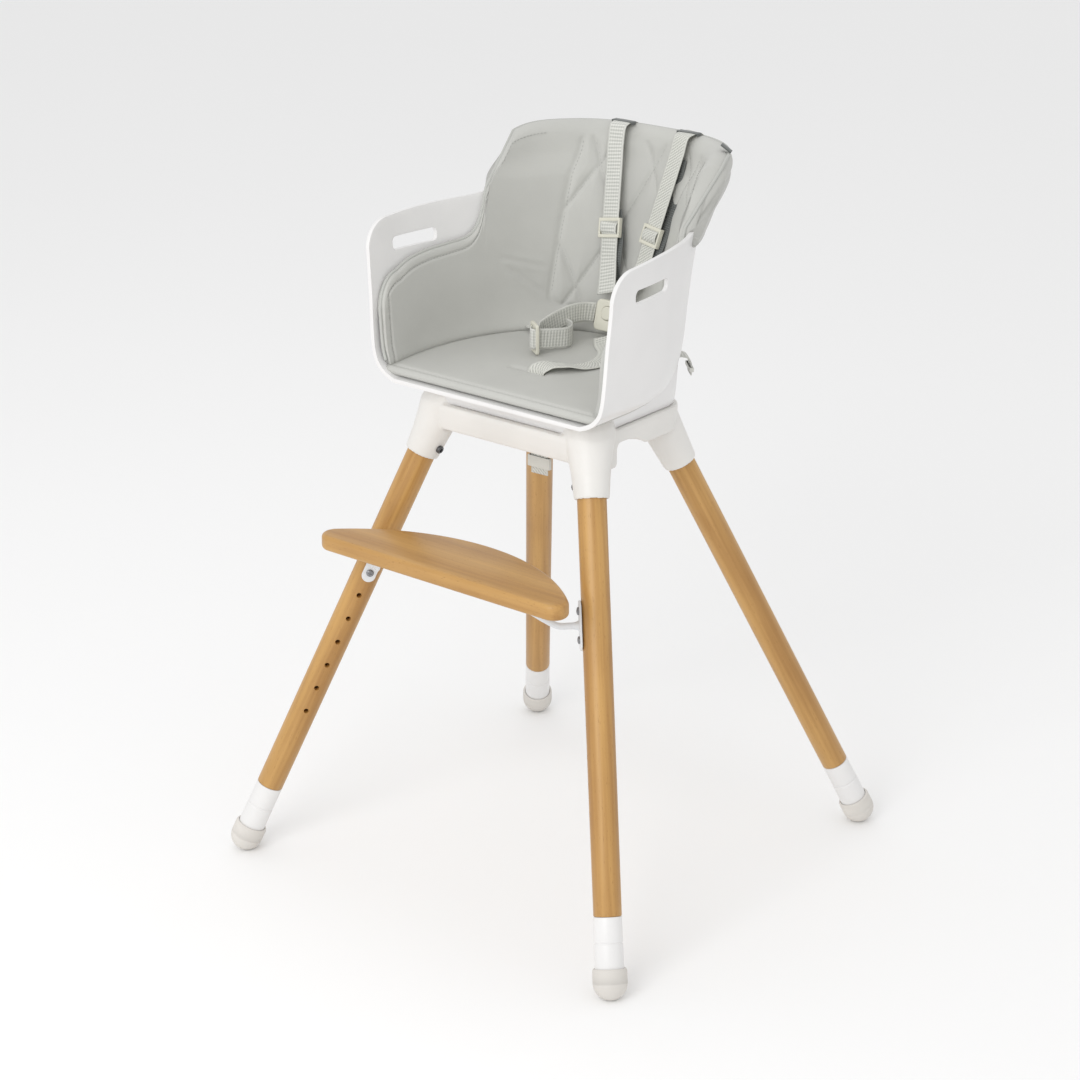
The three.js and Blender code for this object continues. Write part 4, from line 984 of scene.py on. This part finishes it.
# %% [markdown]
# ## Piping and stitches
# A cord covered in the same cloth is sewn round the liner's edge, and a row of thread follows
# it. Every seam of the quilting carries stitches 3 to 4 mm long, laid out one after another.

# %% Piping
def end_run(column):
    """The liner's front edge at its first or last column, from the pad up to the rounded corner."""
    z = np.linspace(float(pad_top(WING_FRONT)) + 3, edge_line[column][2] - 1.5, 26)
    run = on_bucket(np.full(len(z), columns[column]), z, WING_MID, WING_MID, front=WING_FRONT)
    run[:, 1] -= 1.2
    return run


corded = np.vstack([end_run(0), edge_line[1:-1] + (0, 0, 0.4), end_run(-1)[::-1]])
finish_piece(tube("liner_piping", corded, 2.1, 12), piping_leather)

# %% Stitches
def point_on(points, run, at):
    """The point at a distance along a line."""
    return np.array([np.interp(at, run, points[:, k]) for k in range(3)])


def stitches(name, lines, pitch=5.0, length=3.7, thick=0.55):
    """Short threads laid end to end along each line of points."""
    verts, faces = [], []
    for line in lines:
        run = distance_along(line)
        for at in np.arange(pitch / 2, run[-1] - pitch / 2, pitch):
            a, b = point_on(line, run, at - length / 2), point_on(line, run, at + length / 2)
            t = unit(b - a)
            u = unit(np.cross(t, (0.1, 1.0, 0.2)))
            v = np.cross(t, u)
            start = len(verts)
            verts.append(a)
            for q in (a * 0.75 + b * 0.25, a * 0.25 + b * 0.75):
                verts.extend(q + thick * (math.cos(k * math.pi / 2) * u + math.sin(k * math.pi / 2) * v)
                             for k in range(4))
            verts.append(b)
            for k in range(4):
                m = (k + 1) % 4
                faces.append((start, start + 1 + m, start + 1 + k))
                faces.append((start + 1 + k, start + 1 + m, start + 5 + m, start + 5 + k))
                faces.append((start + 9, start + 5 + k, start + 5 + m))
    return new_object(name, verts, faces)


def face_at(x, z, extra=0.0):
    """The point on the liner's padded back at a place across and a height."""
    x, z = np.asarray(x, float), np.asarray(z, float)
    half, back, start, full = bucket(z)
    inset = np.array(SKIN + back_padding(z))
    fade = np.clip((edge_height(140) - CREST_RISE - z) / 10, 0, 1) ** 0.5
    puff = np.zeros_like(x)
    for _ in range(3):
        share = np.clip(np.abs(x) / (half - SKIN - WING - puff), 0, 1) ** (full / 2)
        y = start + np.sqrt(1 - share ** 2) ** (2 / full) * (back - inset - puff - start)
        puff = swell(np.stack([x, y, z], -1)) * fade + 0.8 * (1 - fade) + extra
    return np.stack([x, y, z], -1)


seams = []
for side in SIDES.values():
    z = np.linspace(PANEL_LOW + PANEL_CORNER, 862, 90)
    seams.append(face_at(np.full(len(z), side * (PANEL_X - 1.0)), z, 0.05))
quilting = []
for lean in (-1, 1):
    for k in range(-4, 5):
        z = np.linspace(PANEL_LOW + 3, 862, 160)
        x = DIAMOND_AT[0] + k * DIAMOND[0] + lean * (z - DIAMOND_AT[1]) * DIAMOND[0] / DIAMOND[1]
        keep = panel_distance(x, z) > 2
        if keep.sum() > 8:
            quilting.append(face_at(x[keep], z[keep], 0.2))
edge_rows = []
for side in SIDES.values():
    z = np.linspace(float(pad_top(-130)) + 5, 704, 30)
    up_front = liner_face(np.full(len(z), side * 0.94), z, 0.25)
    w = side * np.linspace(0.94, 0.42, 150)
    edge_rows.append(np.vstack([up_front, liner_face(w, edge_at(w)[0] - EDGE_RISE - 6.5, 0.25)]))
finish_piece(stitches("seam_stitches", seams), thread)
finish_piece(stitches("quilt_stitches", quilting, 4.2, 3.0, 0.42), thread)
finish_piece(stitches("edge_stitches", edge_rows, 4.6, 3.4, 0.5), thread)

# %% [markdown]
# ## Harness
# Flat webbing runs from the hood's top edge to the buckle, from the buckle out through the
# shell at the hips, and up through the seat between the legs. The straps are slack. Each
# shoulder strap is doubled: the return layer hangs behind the front one. Its dark colour is
# partly the webbing's own and partly painted shade for the shadow between the two layers.

# %% Shoulder straps
HIGH, LOW = np.array((-46.0, 156, 862)), np.array((-25.5, 115, 726))
HANG = np.array((1.0, 0, 0))
SLIDER_AT = 0.72
TURN = {-1: 0.05, 1: 0.24}
OVER = [(-50, 195, 846), (-50, 195, 858), (-50, 194.6, 868), (-50, 192.4, 877), (-49.6, 187.5, 882),
        (-49.2, 180, 883.2), (-48.2, 169, 883.1), (-47.6, 163, 881), (-47.1, 160, 876)]
BELOW = [(-18, 104, 706), (-12.5, 95, 692.5)]
HUMP = [(-9, 0.4), (-7, 1.6), (-4.5, 3.6), (0, 4.4), (4.5, 3.6), (7, 1.6), (9, 0.4)]


def mirrored(points, side):
    """Points of the left shoulder strap, turned over for the right one."""
    return np.asarray(points, float) * (-side, 1, 1)


for side_name, side in SIDES.items():
    high, low = mirrored(HIGH, side), mirrored(LOW, side) + HANG
    straight = [high + (low - high) * u for u in np.linspace(0, 1, 7)]
    points = curve_through([*mirrored(OVER, side), *straight, *(mirrored(BELOW, side) + HANG)], 150)
    sway = np.sin(np.linspace(0, 1, len(points)) * 7.5) * 0.5
    points[:, 1] -= np.where(points[:, 2] < 860, np.abs(sway), 0)
    across = np.array((math.cos(TURN[side]), -math.sin(TURN[side]), 0))
    strap = strip(f"shoulder_webbing_{side_name}", points, across)
    weave = pale_webbing if side < 0 else twill_webbing
    finish_piece(strap, weave, replaces=[f"shoulder_strap_{side_name}"])
    first = high * 0.42 + low * 0.58 if side < 0 else high + (0, 0, -8)
    aside = 5 if side < 0 else 10
    back_line = [first + (1, 4, 0), first * 0.5 + low * 0.5 + (aside, 5, 0), low + (aside, 5, 6),
                 low + (3, 4, -22)]
    # The dark return layer is partly dark webbing and partly painted shade for the shadow between the layers.
    behind = strip(f"return_webbing_and_painted_shade_{side_name}", curve_through(back_line, 60), across, 23.5, 1.4)
    finish_piece(behind, dark_webbing)
    node = f"strap_slider_{side_name}"
    finish_piece(copy_of(node, 0.7, 3), buckle_plastic, f"slider_{side_name}", [node])
    centre, along = high + (low - high) * SLIDER_AT, unit(low - high)
    ahead = unit(np.cross(across, along))
    ahead = -ahead if ahead[1] > 0 else ahead
    hump = [centre + along * run + ahead * rise for run, rise in HUMP]
    wrap = strip(f"slider_wrap_{side_name}", curve_through(hump, 24), across, 24.5, 1.4)
    finish_piece(wrap, weave, f"slider_{side_name}")
    node = f"strap_loop_{side_name}"
    finish_piece(copy_of(node, 0.5), dark_webbing, replaces=[node])

# %% Waist straps, crotch strap and their plastic parts
UP = np.array((0.0, 0, 1))
OUT = unit(np.array((0.69, 0.72, 0.0)))
ADJUSTER = {-1: ((-33.0, -15, 658.5), 0.95), 1: ((86.0, 24, 661), -0.95)}
FOLD = [(1, -6), (1, 0), (0.55, 4.4), (-0.55, 4.4), (-1, 0), (-1, -6)]
TAIL = [(98, 66.7, 643.5), (105, 74, 643.5), (112, 81.3, 643.5), (116.5, 86.5, 641), (118.5, 90, 634),
        (118.5, 90, 628), (118.5, 90, 620)]
WAIST = {
    -1: ([(-21.5, 87, 668), (-28, 78, 670), (-34, 55, 671), (-39, 26, 666), (-39, 4, 661)],
         [(-16, 4, 656.5), (-11, 22, 655), (-22, 42, 655), (-46, 52, 654), (-68, 53, 651), (-83, 53.5, 645.5),
          (-90, 58.5, 643.9)]),
    1: ([(23.5, 87, 668), (38, 84, 669), (60, 68, 668), (80, 52, 664), (90, 40, 662)],
        [(74, 36, 658), (64, 44, 656), (67, 51, 654), (77, 51, 650), (85, 54.5, 645), (90, 58.5, 643.9)]),
}
for side_name, side in SIDES.items():
    place, turn = ADJUSTER[side]
    along = np.array((-math.sin(turn), math.cos(turn), 0))
    ahead = np.cross(UP, along) * -side
    fold = [np.array(place) + a * 6.6 * along + f * ahead for a, f in FOLD]
    near, far = WAIST[side]
    points = curve_through([*near, *fold, *far, *(np.array(TAIL) * (side, 1, 1))], 190)
    lying = np.where(points[:, 2] < 655.5, (np.abs(points[:, 0]) - 52) / 28, 0)
    flat = eased_step(lying)[:, None]
    through = np.array((-OUT[1], OUT[0] * side, 0)) * side
    strap = strip(f"waist_webbing_{side_name}", points, UP * (1 - flat) + through * flat)
    finish_piece(strap, pale_webbing, replaces=[f"waist_strap_{side_name}"])
    for part, bevel, paint, slot in (("waist_adjuster", 0.8, buckle_plastic, "buckle_plastic"),
                                     ("waist_stop", 0.7, grey_plastic, "grey_plastic"),
                                     ("buckle_tongue", 0.6, buckle_plastic, "buckle_plastic")):
        node = f"{part}_{side_name}"
        finish_piece(copy_of(node, bevel, 3), paint, replaces=[node])

x, y = CROTCH
route = [(x + 7, y, 512), (x + 6.6, y, 530), (x + 4, y, 560), (x, y, 600), (x, y, 628),
         (x + 1, y + 3, 638.6), (17, -54, 643.5), (30, -41, 643.5), (44, -26, 640.8), (52, -6, 640.6),
         (48, 18, 641), (36, 38, 642), (18, 54, 644), (8, 66, 648)]
strap = strip("crotch_webbing", curve_through(route, 150), (1.0, 0, 0))
finish_piece(strap, twill_webbing, replaces=["crotch_strap"])
finish_piece(copy_of("crotch_stop", 0.7, 3), grey_plastic, replaces=["crotch_stop"])
finish_piece(copy_of("hood_tab", 0.6, 2), dark_webbing, replaces=["hood_tab"])
finish_piece(copy_of("buckle_body", 0.9, 3), buckle_plastic, replaces=["buckle_body"])
finish_piece(copy_of("buckle_button", 0.7, 3), buckle_plastic, "button", ["buckle_button"])

# %% [markdown]
# ## Footrest
# The board is one piece of beech with a straight front and a bowed back, and its edges are
# rounded over. Two bent rods carry it. Each is welded to a plate that is screwed to a leg.

# %% Footrest board
BOARD = {"low": 421.5, "thick": 19.5, "front": -243.0, "back": -143.0, "arc": 260.0, "corner": 17.0}
centre_y = BOARD["back"] - BOARD["arc"]
corner_y = BOARD["front"] + BOARD["corner"]
corner_x = math.sqrt((BOARD["arc"] - BOARD["corner"]) ** 2 - (corner_y - centre_y) ** 2)
meet = math.degrees(math.atan2(corner_y - centre_y, corner_x))
board_outline = (arc(corner_x, corner_y, BOARD["corner"], -90, meet, 16)[:-1]
                 + arc(0, centre_y, BOARD["arc"], meet, 180 - meet, 64)
                 + arc(-corner_x, corner_y, BOARD["corner"], 180 - meet, 270, 16)[1:])
board = prism("footrest_wood", np.array(board_outline), BOARD["low"], BOARD["low"] + BOARD["thick"])
bevelled(board, 5.0, 6, angle=60, sharp=80)
finish_piece(board, board_wood, "footrest", ["footrest_board"])

# %% Brackets, saddles and screws
ROD_R, ROD_Y = 3.9, -214.0
ROD_Z = BOARD["low"] - 0.6 - ROD_R
PLATE = (58.0, 17.0, 2.5)
PLATE_UP = HOLE_FIRST + (HOLE_COUNT - 1.5) * HOLE_PITCH
WELD = [(0, 1.5), (8.2, 2.4), (6.6, 3.2), (5.2, 4.6), (4.4, 7), (3.9, 10), (0, 10)]


def screw_piece(name, head=4.6, height=2.6):
    """A pan head with a cross recess, its face towards local Z."""
    dome = [(head * math.cos(a), 0.9 + (height - 0.9) * math.sin(a))
            for a in np.linspace(0, math.pi / 2, 8)]
    body = turned(name, [(0, -0.2), (head - 0.3, -0.2), (head, 0.2), *dome], 32)
    for angle in (0, math.pi / 2):
        bar = prism("recess", rounded_outline(4.4, 1.0, 0.3, 2), height - 1.3, height + 1)
        bar.matrix_world = Matrix.Rotation(angle, 4, "Z")
        cut(body, bar)
    body.data.set_sharp_from_angle(angle=math.radians(35))
    return body


for side_name, side in SIDES.items():
    origin, axes, length = leg_axes("front", side)
    out, up = axes[:, 0], axes[:, 2]
    surface = LEG_LOW_R + (LEG_TOP_R - LEG_LOW_R) * PLATE_UP / length + 0.15
    seat = origin + up * PLATE_UP + out * (surface + 0.3)
    plate_axes = np.column_stack([np.cross(up, out), up, out])
    plate = prism("plate", rounded_outline(PLATE[1], PLATE[0], PLATE[1] / 2 - 0.1, 10), 0, PLATE[2])
    bevelled(plate, 0.7, 3, 60)
    plate = stand(plate, seat, plate_axes)
    start = seat + out
    path = [start, start + out * 12, start + out * 26 + (0, 0, 0.5), start + out * 38 + (0, 0, 7),
            (side * 121, -205.5, start[2] + 18), (side * 113, ROD_Y + 1.5, ROD_Z - 3),
            (side * 104, ROD_Y, ROD_Z - 0.6), (side * 92, ROD_Y, ROD_Z), (side * 60, ROD_Y, ROD_Z),
            (side * 12, ROD_Y, ROD_Z)]
    line = curve_through(path, 110)
    radii = np.full(len(line), ROD_R)
    radii[-2:] = (ROD_R - 0.5, ROD_R - 1.6)
    bar = tube("rod", line, radii, 24)
    weld = stand(turned("weld", WELD, 32), seat, plate_axes)
    bpy.context.view_layer.update()
    bracket = joined(f"bracket_{side_name}_form", plate, bar, weld)
    bracket.data.set_sharp_from_angle(angle=math.radians(40))
    finish_piece(bracket, painted_steel, f"bracket_{side_name}",
                 [f"footrest_bracket_{side_name}"])
    for place, sign in (("lower", -1), ("upper", 1)):
        screw = screw_piece(f"plate_screw_{place}_{side_name}")
        at = seat + up * sign * HOLE_PITCH / 2 + out * (PLATE[2] + 0.2)
        finish_piece(stand(screw, at, plate_axes), screw_steel, f"bracket_{side_name}",
                     [f"bracket_screw_{place}_{side_name}"])
    saddle = f"rod_saddle_{side_name}"
    finish_piece(copy_of(saddle, 0.5), painted_steel, "footrest", [saddle])
    for place in ("front", "rear"):
        node = f"saddle_screw_{place}_{side_name}"
        finish_piece(copy_of(node, 0.3), screw_steel, "footrest", [node])

# %% [markdown]
# ## Light and camera
# The chair stands on a pale floor in an even white room. A large panel in front gives the
# soft key light, and a weaker one overhead lifts the crest and the arms.

# %% Floor, room and lights
def stage_paint(name, colour):
    paint = Paint(name, Roughness=0.9)
    slow = paint.noise(paint.place(), 0.7, 2)
    return paint.set(Base_Color=paint.blend(slow, shade(colour, 0.985), colour))


FLOOR_HALF = 20000
corners = [(FLOOR_HALF * a, FLOOR_HALF * b, 0) for a, b in ((-1, -1), (1, -1), (1, 1), (-1, 1))]
floor = new_object("floor", corners, [(0, 1, 2, 3)], smooth=False)
floor.data.materials.append(stage_paint("floor_white", (0.93, 0.93, 0.93, 1)))

world = bpy.data.worlds.new("room")
world.use_nodes = True
background = next(n for n in world.node_tree.nodes if n.type == "BACKGROUND")
background.inputs["Color"].default_value = (1.0, 1.0, 1.0, 1.0)
background.inputs["Strength"].default_value = 0.86
bpy.context.scene.world = world


AIM = (0, 0, 0.6)


def panel_light(name, place, size, power):
    light = bpy.data.lights.new(name, "AREA")
    light.shape, light.size, light.size_y = "RECTANGLE", size, size
    light.energy = power
    lamp = bpy.data.objects.new(name, light)
    lamp.location = place
    lamp.rotation_euler = (Vector(AIM) - Vector(place)).to_track_quat("-Z", "Y").to_euler()
    bpy.context.scene.collection.objects.link(lamp)


panel_light("key_panel", (0.5, -2.8, 2.0), 1.9, 38)
panel_light("top_panel", (-0.8, 0.6, 2.9), 1.8, 5)

# %% Camera
CAMERA_AT = (1.9418, -2.4335, 1.6203)
CAMERA_DOWN, CAMERA_TURN = 21.34, 39.12
camera_data = bpy.data.cameras.new("camera")
camera_data.sensor_width = 36
camera_data.lens = 91.43
camera_data.clip_end = 100
camera = bpy.data.objects.new("camera", camera_data)
camera.location = CAMERA_AT
camera.rotation_euler = (math.radians(90 - CAMERA_DOWN), 0, math.radians(CAMERA_TURN))
bpy.context.scene.collection.objects.link(camera)
bpy.context.scene.camera = camera
bpy.context.scene.view_settings.view_transform = "Standard"
